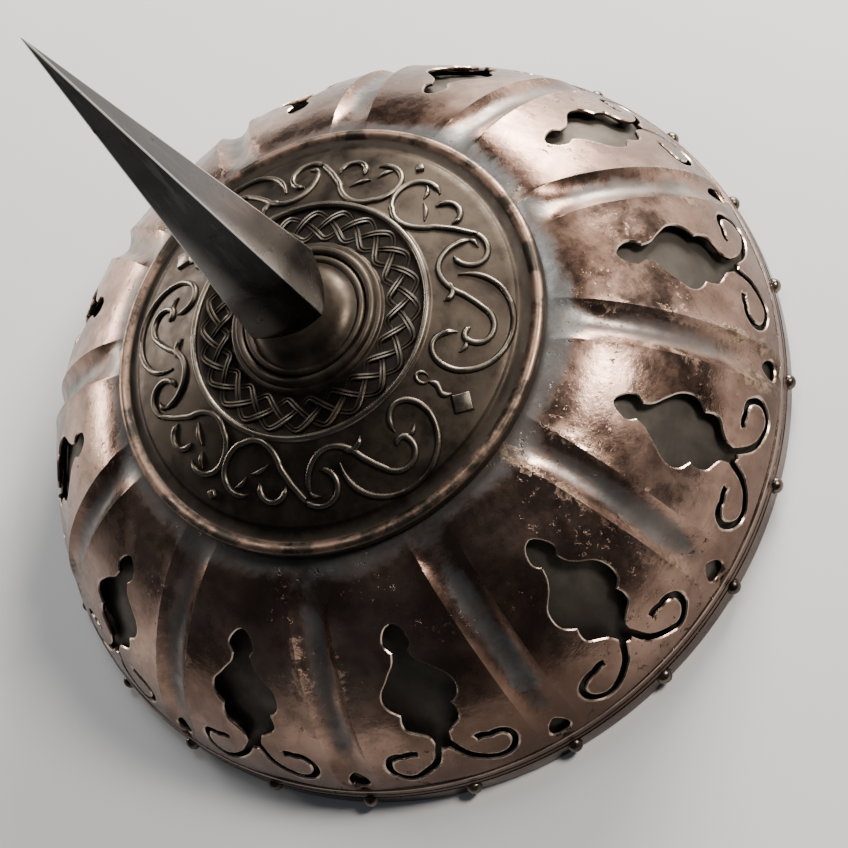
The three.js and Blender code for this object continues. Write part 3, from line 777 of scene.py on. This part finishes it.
def make_lining(shape, finish):
    """A plain dished lining that clears the flutes and rises under the boss."""
    dome = Dome(shape.fullness)
    rim = LINING_RIM - 0.1 * MM
    sheet = 1.5 * MM
    gap = 2.6 * MM
    flute_room = 2.0 * MM
    rise = LINING_CROWN - CROWN_LEVEL

    def side(sunk, radius):
        rows = [(radius, 0.0), (radius, 3 * MM), (radius - 0.1 * MM, 6 * MM)]
        for step in range(25):
            along = mix(94, 0, step / 24) * MM
            depth = sunk + flute_room * smoothstep(along, 0, FLUTE_FULL) * (
                1 - 0.75 * smoothstep(along, 66 * MM, 97.5 * MM))
            rows.append(tuple(dome.at(along, -depth)))
        top = CROWN_LEVEL - sunk
        for step in range(1, 13):
            radius = mix(74, 0, step / 12) * MM
            rows.append((radius, top + rise * (1 - smoothstep(radius, 10 * MM, 48 * MM))))
        return rows

    outer = side(gap, rim)
    inner = side(gap + sheet, rim - sheet)
    bm = turned(outer + inner[::-1], 144)
    return piece("iron_lining", bm, finish, ["lining"])


# ---------------------------------------------------------------- the boss plate

FACE_OUTER = Vector((71.0, 82.8)) * MM
FACE_INNER = Vector((45.4, 92.6)) * MM
KNOT_INNER = Vector((28.6, 93.5)) * MM
KNOT_OUTER = Vector((42.2, 92.3)) * MM


def face_level(radius):
    return mix(FACE_INNER.y, FACE_OUTER.y, (radius - FACE_INNER.x) / (FACE_OUTER.x - FACE_INNER.x))


def knot_level(radius):
    return mix(KNOT_INNER.y, KNOT_OUTER.y, (radius - KNOT_INNER.x) / (KNOT_OUTER.x - KNOT_INNER.x))


def round_ring(radius, level, size, first, last, steps):
    """Points over a half-round ring, in millimetres."""
    points = []
    for i in range(steps + 1):
        angle = math.radians(mix(first, last, i / steps))
        points.append((radius + size * math.cos(angle), level + size * math.sin(angle)))
    return points


def plate_profile():
    """The plate from its outer foot over the lip, face, bead, knot band and rings to the neck."""
    edge = PLATE_RADIUS / MM
    neck = NECK_TOP / MM
    rows = [(edge - 0.7, PLATE_UNDERSIDE / MM), (edge - 0.2, 76.9), (edge, 77.6), (edge, 79.6)]
    rows += round_ring(edge - 1.9, 80.1, 1.9, 8, 88, 7)
    rows += [(78.0, 81.95), (77.2, 81.6), (76.5, 81.1), (75.8, 80.95), (73.6, 81.3), (72.6, 81.5),
             (71.9, 81.9), (71.4, 82.5)]
    rows += [(mix(71.0, 45.6, share / 12), face_level(mix(71.0, 45.6, share / 12) * MM) / MM)
             for share in range(13)]
    rows += [(45.1, 92.7)] + round_ring(43.7, 93.0, 1.15, 10, 170, 8) + [(42.5, 92.5)]
    rows += [(mix(42.1, 28.8, share / 6), knot_level(mix(42.1, 28.8, share / 6) * MM) / MM)
             for share in range(7)]
    rows += [(28.4, 93.7), (28.1, 94.6), (27.7, 95.1), (27.0, 95.2), (26.4, 95.2)]
    rows += round_ring(24.5, 95.3, 1.7, 12, 168, 8) + [(22.7, 95.0)]
    rows += round_ring(21.0, 95.4, 1.6, 12, 150, 7)
    rows += [(19.2, 96.3), (18.2, 96.5), (16.6, 97.4), (15.2, 98.8), (14.0, 100.5), (13.1, 102.4),
             (12.4, 104.4), (12.0, neck - 0.9), (11.7, neck - 0.25), (11.2, neck), (0.0, neck)]
    under = [(0.0, 96.0), (10.0, 96.0), (45.4, 89.8), (66.0, 82.0), (65.0, PLATE_UNDERSIDE / MM)]
    return [(radius * MM, level * MM) for radius, level in rows + under]


# The scrolls are drawn flat, in millimetres: x round the face from a mirror line, measured where
# the radius is SCROLL_RADIUS, and y the radius. Each strand is a run of arcs: middle x and y,
# radius at the start and at the end, and the angles that it runs between.
SCROLL_RADIUS = 58.5
SCROLL_STRANDS = (
    ((28.5, 52.5, 16.2, 20.8, 6, 166), (15.0, 54.6, 6.9, 6.6, 176, 358)),
    ((24.0, 58.8, 4.0, 7.6, 216, 28), (48.0, 59.6, 12.6, 9.0, 200, 376)),
    ((53.0, 59.0, 4.6, 7.4, 262, 34), (81.0, 57.4, 14.0, 10.8, 196, 300),
     (82.2, 56.6, 9.7, 7.2, 306, 476)),
    ((70.6, 59.2, 4.8, 4.8, -6, 184),),
    ((37.5, 47.0, 5.2, 4.4, 34, 152),),
    ((21.4, 59.4, 3.0, 2.4, 330, 190),),
)
SCROLL_SPURS = (
    ((79.5, 56.6), (76.0, 54.9), (72.6, 52.2)),
    ((84.6, 62.6), (82.4, 60.6), (81.2, 58.0)),
    ((57.6, 60.4), (56.0, 62.2), (53.6, 62.8)),
    ((14.6, 56.6), (17.2, 58.0), (19.4, 57.2)),
)
PENDANT_STEM = ((0.6, 60.0), (-1.0, 57.6), (0.9, 54.6), (0.2, 51.6))
PENDANT_LOOP = (0.4, 49.6, 2.1, 2.1, 80, 420)


def on_face(point, axis, side, height=0.0):
    """A flat point of the drawing laid on the plate's face, beside a mirror line."""
    radius = point.y * MM
    angle = axis + side * point.x / SCROLL_RADIUS
    return polar(radius, angle, face_level(radius) + height)


def scroll_lines():
    """Every strand of the scroll band: its points on the plate and its width along them."""
    lines = []
    for half_turn in (-1, 1):
        axis = ORNAMENT_TURN + half_turn * math.pi / 2
        for side in (-1, 1):
            for arcs in SCROLL_STRANDS:
                flat = []
                for values in arcs:
                    flat += arc(*values)
                lines.append(([on_face(point, axis, side) for point in smooth_line(flat, 2)], 1.0))
            for spur in SCROLL_SPURS:
                flat = smooth_line([Vector(point) for point in spur], 6)
                lines.append(([on_face(point, axis, side) for point in flat], 0.85))
        stem = smooth_line([Vector(point) for point in PENDANT_STEM], 7)
        lines.append(([on_face(point, axis, 1) for point in stem], 0.95))
        lines.append(([on_face(point, axis, 1) for point in arc(*PENDANT_LOOP, step=20)], 0.7))
    return lines


def tapered(count, full, start=0.45, end=0.35, reach=6):
    """Widths along a strand that thins towards its two ends."""
    widths = []
    for i in range(count):
        first = mix(start, 1.0, smoothstep(i, 0, reach))
        last = mix(end, 1.0, smoothstep(count - 1 - i, 0, reach))
        widths.append(full * first * last)
    return widths


def tubes(splines, resolution):
    """Round strands along lines of points: (points, widths, closed) for each."""
    curve = bpy.data.curves.new("strands", "CURVE")
    curve.dimensions = "3D"
    curve.twist_mode = "Z_UP"
    curve.bevel_depth = 1.0
    curve.bevel_resolution = resolution
    curve.use_fill_caps = True
    for points, widths, closed in splines:
        spline = curve.splines.new("POLY")
        spline.points.add(len(points) - 1)
        spline.use_cyclic_u = closed
        for target, point, width in zip(spline.points, points, widths):
            target.co = (*point, 1.0)
            target.radius = width / 2
    obj = bpy.data.objects.new("strands", curve)
    bpy.context.scene.collection.objects.link(obj)
    bm = evaluated_bmesh(obj)
    bmesh.ops.remove_doubles(bm, verts=bm.verts, dist=1e-7)
    bmesh.ops.recalc_face_normals(bm, faces=bm.faces)
    return bm


def scrollwork(relief):
    width = relief.scroll_width
    splines = []
    for points, share in scroll_lines():
        lift = Vector((0, 0, 0.12 * MM))
        widths = tapered(len(points), width * share)
        splines.append(([point + lift for point in points], widths, False))
    return tubes(splines, 2)


def plait(relief):
    """Three waving strands of two wires each, plaited over and under round the boss."""
    middle = (KNOT_INNER.x + KNOT_OUTER.x) / 2
    swing = (KNOT_OUTER.x - KNOT_INNER.x) / 2 - 1.5 * MM
    count = relief.plait_waves * 30
    splines = []
    for strand in range(3):
        path = []
        for i in range(count):
            angle = i / count * 2 * math.pi
            phase = relief.plait_waves * angle + strand * 2 * math.pi / 3
            wave = math.asin(0.94 * math.cos(phase)) / math.asin(0.94)
            radius = middle + swing * wave
            lift = 0.42 * MM * math.sin(2 * phase)
            path.append(polar(radius, angle, knot_level(radius) + 0.25 * MM + lift))
        for side in (-1, 1):
            line = []
            for i, point in enumerate(path):
                ahead = path[(i + 1) % count] - path[i - 1]
                across = Vector((-ahead.y, ahead.x, 0)).normalized()
                line.append(point + across * side * relief.plait_width * 0.56)
            splines.append((line, [relief.plait_width] * count, True))
    return tubes(splines, 1)


def lozenge(angle, radius, half_width, half_height):
    """A flat-topped lozenge on the plate's face, with bevelled edges."""
    bm = bmesh.new()
    bmesh.ops.create_cone(bm, cap_ends=True, cap_tris=False, segments=4,
                          radius1=1.0, radius2=0.8, depth=2.4 * MM)
    slope = math.atan2(FACE_INNER.y - FACE_OUTER.y, FACE_OUTER.x - FACE_INNER.x)
    turn = (Matrix.Rotation(angle, 4, "Z") @ Matrix.Translation((radius, 0, face_level(radius)))
            @ Matrix.Rotation(slope, 4, "Y") @ Matrix.Diagonal((half_height, half_width, 1, 1)))
    bmesh.ops.transform(bm, matrix=turn, verts=bm.verts)
    bmesh.ops.bevel(bm, geom=bm.edges[:], offset=0.25 * MM, segments=2, profile=0.5,
                    affect="EDGES", material=-1)
    bmesh.ops.recalc_face_normals(bm, faces=bm.faces)
    return bm


def plate_ground_level(radius):
    if radius > FACE_INNER.x:
        return face_level(radius)
    return knot_level(radius)


def make_boss_plate(relief, finish):
    bm = turned(plate_profile(), 216)
    for part in (scrollwork(relief), plait(relief)):
        append(bm, part)
    for half_turn in (-1, 1):
        axis = ORNAMENT_TURN + half_turn * math.pi / 2
        append(bm, lozenge(axis, 64.2 * MM, 5.2 * MM, 5.2 * MM))
        append(bm, lozenge(axis + math.pi / 2, 67.6 * MM, 2.3 * MM, 2.3 * MM))
    layers = {name: bm.verts.layers.float.new(name) for name in ("crest", "lip", "recess_shade")}
    for vert in bm.verts:
        radius = math.hypot(vert.co.x, vert.co.y)
        crest = lip = recess_shade = 0.0
        if KNOT_INNER.x < radius < FACE_OUTER.x:
            over = vert.co.z - plate_ground_level(radius)
            crest = smoothstep(over, 0.35 * MM, 1.05 * MM)
            # painted shade on the ground between the plait's wires
            recess_shade = 1 - smoothstep(over, 0.05 * MM, 0.6 * MM) if radius < KNOT_OUTER.x else 0.0
        elif radius > 76 * MM:
            lip = smoothstep(vert.co.z, 80.6 * MM, 81.7 * MM)
            crest = 0.5 * lip
        elif radius > FACE_OUTER.x:
            # painted shade in the channel inside the lip
            recess_shade = 0.4
        vert[layers["crest"]] = crest
        vert[layers["lip"]] = lip
        vert[layers["recess_shade"]] = recess_shade
    return piece("boss_plate_relief", bm, finish, ["boss_plate"], sharp=48)


# ---------------------------------------------------------------- the spike

def make_spike(finish):
    """A square pyramid, its foot turned down to the neck so that each face ends in a scallop."""
    shoulder = 113.4 * MM
    half_diagonal = 18 * MM
    neck = 11.6 * MM
    slope = half_diagonal / (SPIKE_TIP - shoulder)
    height = SPIKE_TIP - SPIKE_FOOT
    body = bmesh.new()
    bmesh.ops.create_cone(body, cap_ends=True, segments=4, radius1=slope * height, radius2=0, depth=height)
    bmesh.ops.rotate(body, cent=(0, 0, 0), matrix=Matrix.Rotation(ORNAMENT_TURN, 3, "Z"), verts=body.verts)
    bmesh.ops.translate(body, verts=body.verts, vec=(0, 0, (SPIKE_TIP + SPIKE_FOOT) / 2))
    corner = max(body.verts, key=lambda vert: vert.co.x)
    turn = math.atan2(corner.co.y, corner.co.x) - ORNAMENT_TURN
    bmesh.ops.rotate(body, cent=(0, 0, 0), matrix=Matrix.Rotation(-turn, 3, "Z"), verts=body.verts)
    rise = (shoulder - SPIKE_FOOT) / (half_diagonal - neck)
    low = SPIKE_FOOT - 1 * MM
    wide = neck + 60 * MM
    turning = turned([(0, low), (neck - 1 * MM / rise, low), (wide, SPIKE_FOOT + 60 * MM * rise),
                      (wide, SPIKE_TIP + 10 * MM), (0, SPIKE_TIP + 10 * MM)], 96, closed=False)
    bm = boolean(body, turning, "INTERSECT")
    arrises = [edge for edge in bm.edges if edge.calc_length() > 100 * MM]
    bmesh.ops.bevel(bm, geom=arrises, offset=0.3 * MM, segments=2, profile=0.5,
                    affect="EDGES", material=-1)
    sides = [face for face in bm.faces if face.calc_area() > 500 * MM * MM]
    bmesh.ops.inset_individual(bm, faces=sides, thickness=0.3 * MM, use_even_offset=True)
    scallops = [edge for edge in bm.edges
                if edge.verts[0].co.z > SPIKE_FOOT + 0.5 * MM and edge.calc_length() < 6 * MM
                and edge.verts[0].co.z < shoulder + 2 * MM
                and math.radians(20) < edge.calc_face_angle(0.0) < math.radians(80)]
    # arris: where the pale edge, partly a painted highlight, is painted
    arris = bm.verts.layers.float.new("arris")
    for vert in bm.verts:
        vert[arris] = 0.0
    for edge in scallops:
        for vert in edge.verts:
            vert[arris] = 0.35
    for vert in bm.verts:
        angle = (math.atan2(vert.co.y, vert.co.x) - ORNAMENT_TURN) % (math.pi / 2)
        off = min(angle, math.pi / 2 - angle) * math.hypot(vert.co.x, vert.co.y)
        if off < 0.35 * MM and vert.co.z > shoulder - 2 * MM:
            vert[arris] = 1.0
    return piece("spike_blade", bm, finish, ["spike"], sharp=28)


# ---------------------------------------------------------------- rivets

def domed_head(radius, height, steps=24):
    """A rivet head standing on the XY plane, its skirt sunk a little below it."""
    rise = (radius * radius + height * height) / (2 * height)
    reach = math.asin(radius / rise)
    profile = [(0.0, -0.5 * MM), (radius, -0.5 * MM)]
    for i in range(7):
        angle = reach * (1 - i / 6)
        profile.append((rise * math.sin(angle), rise * math.cos(angle) - rise + height))
    profile[-1] = (0.0, height)
    return turned(profile, steps, closed=False)


def make_rim_rivets(finish):
    low, high = RIVET_BOX
    level = (low.z + high.z) / 2
    base = RIM_RADIUS - 0.2 * MM
    chance = random.Random(5)
    bm = bmesh.new()
    for i in range(len(RIM_RIVETS)):
        head = domed_head(chance.uniform(2.8, 3.05) * MM, chance.uniform(2.1, 2.45) * MM)
        lean = Matrix.Rotation(math.radians(90 + chance.uniform(-4, 4)), 4, "Y")
        turn = Matrix.Rotation(i / len(RIM_RIVETS) * 2 * math.pi, 4, "Z")
        rise = level + chance.uniform(-0.25, 0.25) * MM
        place = turn @ Matrix.Translation((base, 0, rise)) @ lean
        bmesh.ops.transform(head, matrix=place, verts=head.verts)
        append(bm, head)
    return piece("rim_rivet_heads", bm, finish, RIM_RIVETS, sharp=50)


# ---------------------------------------------------------------- the grip

def make_strap(finish):
    """The iron strap: two feet under the crown, two legs, and the bar inside the handle."""
    low, high = STRAP_BOX
    thickness = 3.4 * MM
    level = high.z - thickness / 2
    bar = low.z + thickness / 2
    half = [(high.x, level), (61 * MM, level), (57.5 * MM, level - 0.9 * MM), (55.4 * MM, level - 3.4 * MM),
            (54.2 * MM, mix(level, bar, 0.5)), (53.4 * MM, bar + 5 * MM), (51.8 * MM, bar + 1.6 * MM),
            (48.6 * MM, bar)]
    points = [Vector(point) for point in half]
    line = smooth_line(points, 3) + smooth_line([Vector((-x, y)) for x, y in reversed(half)], 3)
    outline = beside(line, thickness / 2) + list(reversed(beside(line, -thickness / 2)))
    width = high.y - low.y
    bm = bmesh.new()
    face = bm.faces.new([bm.verts.new((point.x, -width / 2, point.y)) for point in outline])
    extruded = bmesh.ops.extrude_face_region(bm, geom=[face])
    far = [item for item in extruded["geom"] if isinstance(item, bmesh.types.BMVert)]
    bmesh.ops.translate(bm, verts=far, vec=(0, width, 0))
    bmesh.ops.recalc_face_normals(bm, faces=bm.faces)
    rims = [edge for edge in bm.edges if abs(edge.verts[0].co.y - edge.verts[1].co.y) < 1e-7]
    bmesh.ops.bevel(bm, geom=rims, offset=0.5 * MM, segments=2, profile=0.5, affect="EDGES", material=-1)
    return piece("iron_strap", bm, finish, ["grip_strap"], sharp=40)


def make_handle(finish):
    """An oval handle wound with a strip of leather, whose turns overlap like a low helix."""
    low, high = HANDLE_BOX
    middle = (low + high) / 2
    size = (high - low) / 2
    turns = 9
    lap = 0.93  # the share of a turn over which the strip rises to its edge
    strip = 0.9 * MM
    length = 2 * size.x
    bm = bmesh.new()
    rows = 220
    around = 56
    bmesh.ops.create_circle(bm, segments=around, radius=1.0, cap_ends=False)
    ring = bm.edges[:]
    for _ in range(rows):
        extruded = bmesh.ops.extrude_edge_only(bm, edges=ring)["geom"]
        ring = [item for item in extruded if isinstance(item, bmesh.types.BMEdge)]
        fresh = [item for item in extruded if isinstance(item, bmesh.types.BMVert)]
        bmesh.ops.translate(bm, verts=fresh, vec=(0, 0, 1 / rows))
    bmesh.ops.holes_fill(bm, edges=bm.edges, sides=0)
    rubbed = bm.verts.layers.float.new("rubbed")
    for vert in bm.verts:
        share = vert.co.z
        angle = math.atan2(vert.co.y, vert.co.x)
        turn = (share * turns + angle / (2 * math.pi)) % 1.0
        overlap = turn if turn < lap else (1 - turn) / (1 - lap) * lap
        end = min(share, 1 - share) * length
        swell = 1 - 0.16 * (1 - smoothstep(end, 0, 9 * MM)) - 0.03 * math.cos(share * math.pi) ** 2
        inset = (1.0 - overlap) * strip + 0.15 * MM
        vert[rubbed] = smoothstep(overlap, 0.6, 1.0) * smoothstep(end, 1 * MM, 6 * MM)
        vert.co = (middle.x - size.x + share * length,
                   (size.y * swell - inset) * math.cos(angle),
                   middle.z + (size.z * swell - inset) * math.sin(angle))
    bmesh.ops.recalc_face_normals(bm, faces=bm.faces)
    return piece("leather_handle", bm, finish, ["grip_handle"], sharp=60)


def make_grip_rivets(finish):
    bm = bmesh.new()
    for node in GRIP_RIVETS:
        low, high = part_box(node)
        head = domed_head((high.x - low.x) / 2, high.z - low.z - 0.1 * MM)
        place = Matrix.Translation(((low.x + high.x) / 2, (low.y + high.y) / 2, high.z))
        bmesh.ops.transform(head, matrix=place @ Matrix.Rotation(math.pi, 4, "X"), verts=head.verts)
        append(bm, head)
    return piece("grip_rivet_heads", bm, finish, GRIP_RIVETS, sharp=50)


# ---------------------------------------------------------------- the stage

VIEW_ELEVATION = math.radians(59.78)
VIEW_AZIMUTH = math.radians(270.67)
VIEW_DISTANCE = 4.236 * RIM_RADIUS
VIEW_ROLL = math.radians(45.56)
VIEW_LENS = 68.65
AIM_ASIDE = 7.4 * MM
AIM_BELOW = 3.8 * MM


def make_camera():
    """The camera looks steeply down on the spike, turned on its side so that the spike leans left."""
    back = polar(math.cos(VIEW_ELEVATION), VIEW_AZIMUTH, math.sin(VIEW_ELEVATION))
    up = (Vector((0, 0, 1)) - back * back.z).normalized()
    right = up.cross(back)
    cos, sin = math.cos(VIEW_ROLL), math.sin(VIEW_ROLL)
    rolled_right = right * cos - up * sin
    rolled_up = right * sin + up * cos
    place = back * VIEW_DISTANCE
    aim = rolled_right * AIM_ASIDE - rolled_up * AIM_BELOW
    look_back = (place - aim).normalized()
    side = rolled_up.cross(look_back).normalized()
    top = look_back.cross(side)
    camera = bpy.data.objects.new("camera", bpy.data.cameras.new("camera"))
    bpy.context.scene.collection.objects.link(camera)
    camera.matrix_world = Matrix((side, top, look_back)).transposed().to_4x4()
    camera.location = place
    camera.data.lens = VIEW_LENS
    camera.data.sensor_width = 36
    camera.data.dof.use_dof = False
    bpy.context.scene.camera = camera


def area_light(name, place, aim, size, watts, color=(1, 1, 1)):
    light = bpy.data.lights.new(name, "AREA")
    light.shape = "RECTANGLE"
    light.size, light.size_y = size
    light.energy = watts
    light.color = color
    obj = bpy.data.objects.new(name, light)
    bpy.context.scene.collection.objects.link(obj)
    obj.location = place
    obj.rotation_euler = (Vector(place) - Vector(aim)).to_track_quat("Z", "Y").to_euler()


def make_stage():
    bm = bmesh.new()
    bmesh.ops.create_grid(bm, x_segments=1, y_segments=1, size=3.0)
    bmesh.ops.translate(bm, verts=bm.verts, vec=(0, 0, CAD_BOX[0].z - 0.05 * MM))
    floor = object_of("floor", bm)
    paper = Finish("pale_paper", 0.0, 0.85, (0.78, 0.77, 0.76))
    floor.data.materials.append(paper.show(
        paper.blend(paper.span(paper.grain(4), 0.3, 0.7), (0.76, 0.755, 0.75), (0.80, 0.795, 0.79))))
    world = bpy.data.worlds.new("studio")
    world.use_nodes = True
    world.node_tree.nodes["Background"].inputs["Color"].default_value = (0.55, 0.6, 0.68, 1)
    world.node_tree.nodes["Background"].inputs["Strength"].default_value = 0.11
    bpy.context.scene.world = world
    area_light("key", (0.98, 0.50, 0.36), (0, 0, 0.05), (0.5, 0.3), 34, (1.0, 0.95, 0.88))
    area_light("right", (1.0, -0.45, 1.0), (0, 0, 0.05), (0.35, 0.35), 20, (1.0, 0.94, 0.88))
    area_light("far", (-0.45, 1.15, 0.3), (0, 0, 0.05), (0.7, 0.2), 9, (1.0, 0.93, 0.86))
    area_light("over", (0.5, 0.8, 1.5), (0.1, 0.1, 0.0), (0.8, 0.5), 10, (0.92, 0.96, 1.0))
    make_camera()


# ---------------------------------------------------------------- operators and panel

class BucklerOperator:
    bl_options = {"REGISTER", "UNDO"}


class BUCKLER_OT_dome(BucklerOperator, bpy.types.Operator):
    """Make the fluted and pierced copper dome with its rim band"""
    bl_idname = "buckler.dome"
    bl_label = "Dome"

    def execute(self, context):
        make_dome(context.scene.buckler_shape, copper_finish(context.scene.buckler_finish))
        return {"FINISHED"}


class BUCKLER_OT_lining(BucklerOperator, bpy.types.Operator):
    """Make the blackened iron lining that shows through the piercings"""
    bl_idname = "buckler.lining"
    bl_label = "Lining"

    def execute(self, context):
        finish = iron_finish("lining_iron", context.scene.buckler_finish, 95)
        make_lining(context.scene.buckler_shape, finish)
        return {"FINISHED"}


class BUCKLER_OT_boss_plate(BucklerOperator, bpy.types.Operator):
    """Make the boss plate with its scrolls, plait and rings"""
    bl_idname = "buckler.boss_plate"
    bl_label = "Boss Plate"

    def execute(self, context):
        make_boss_plate(context.scene.buckler_relief, bronze_finish(context.scene.buckler_finish))
        return {"FINISHED"}


class BUCKLER_OT_spike(BucklerOperator, bpy.types.Operator):
    """Make the square steel spike"""
    bl_idname = "buckler.spike"
    bl_label = "Spike"

    def execute(self, context):
        make_spike(steel_finish(context.scene.buckler_finish))
        return {"FINISHED"}


class BUCKLER_OT_rim_rivets(BucklerOperator, bpy.types.Operator):
    """Make the rivet heads round the rim band"""
    bl_idname = "buckler.rim_rivets"
    bl_label = "Rim Rivets"

    def execute(self, context):
        make_rim_rivets(rivet_finish(context.scene.buckler_finish))
        return {"FINISHED"}


class BUCKLER_OT_grip(BucklerOperator, bpy.types.Operator):
    """Make the grip behind: strap, leather-wound handle and rivets"""
    bl_idname = "buckler.grip"
    bl_label = "Grip"

    def execute(self, context):
        colours = context.scene.buckler_finish
        make_strap(iron_finish("strap_iron", colours, 160))
        make_handle(leather_finish(colours))
        make_grip_rivets(rivet_finish(colours))
        return {"FINISHED"}


class BUCKLER_OT_stage(BucklerOperator, bpy.types.Operator):
    """Make the floor, the lights and the camera"""
    bl_idname = "buckler.stage"
    bl_label = "Stage"

    def execute(self, context):
        make_stage()
        return {"FINISHED"}


OPERATORS = (BUCKLER_OT_dome, BUCKLER_OT_lining, BUCKLER_OT_boss_plate, BUCKLER_OT_spike,
             BUCKLER_OT_rim_rivets, BUCKLER_OT_grip, BUCKLER_OT_stage)


class BUCKLER_PT_panel(bpy.types.Panel):
    """Lists the buckler's sizes, colours and pieces"""
    bl_idname = "BUCKLER_PT_panel"
    bl_label = "Buckler"
    bl_space_type = "VIEW_3D"
    bl_region_type = "UI"
    bl_category = "Buckler"

    def draw(self, context):
        for group in (context.scene.buckler_shape, context.scene.buckler_relief,
                      context.scene.buckler_finish):
            box = self.layout.box()
            for name in group.__annotations__:
                box.prop(group, name)
        for operator in OPERATORS:
            self.layout.operator(operator.bl_idname)


GROUPS = {"buckler_shape": BucklerShape, "buckler_relief": BucklerRelief, "buckler_finish": BucklerFinish}
CLASSES = (*GROUPS.values(), *OPERATORS, BUCKLER_PT_panel)


def register():
    for cls in CLASSES:
        bpy.utils.register_class(cls)
    for name, group in GROUPS.items():
        setattr(bpy.types.Scene, name, bpy.props.PointerProperty(type=group))


def unregister():
    for name in GROUPS:
        delattr(bpy.types.Scene, name)
    for cls in reversed(CLASSES):
        bpy.utils.unregister_class(cls)


def main():
    register()
    for operator in OPERATORS:
        category, name = operator.bl_idname.split(".")
        getattr(getattr(bpy.ops, category), name)()


if __name__ == "__main__":
    main()
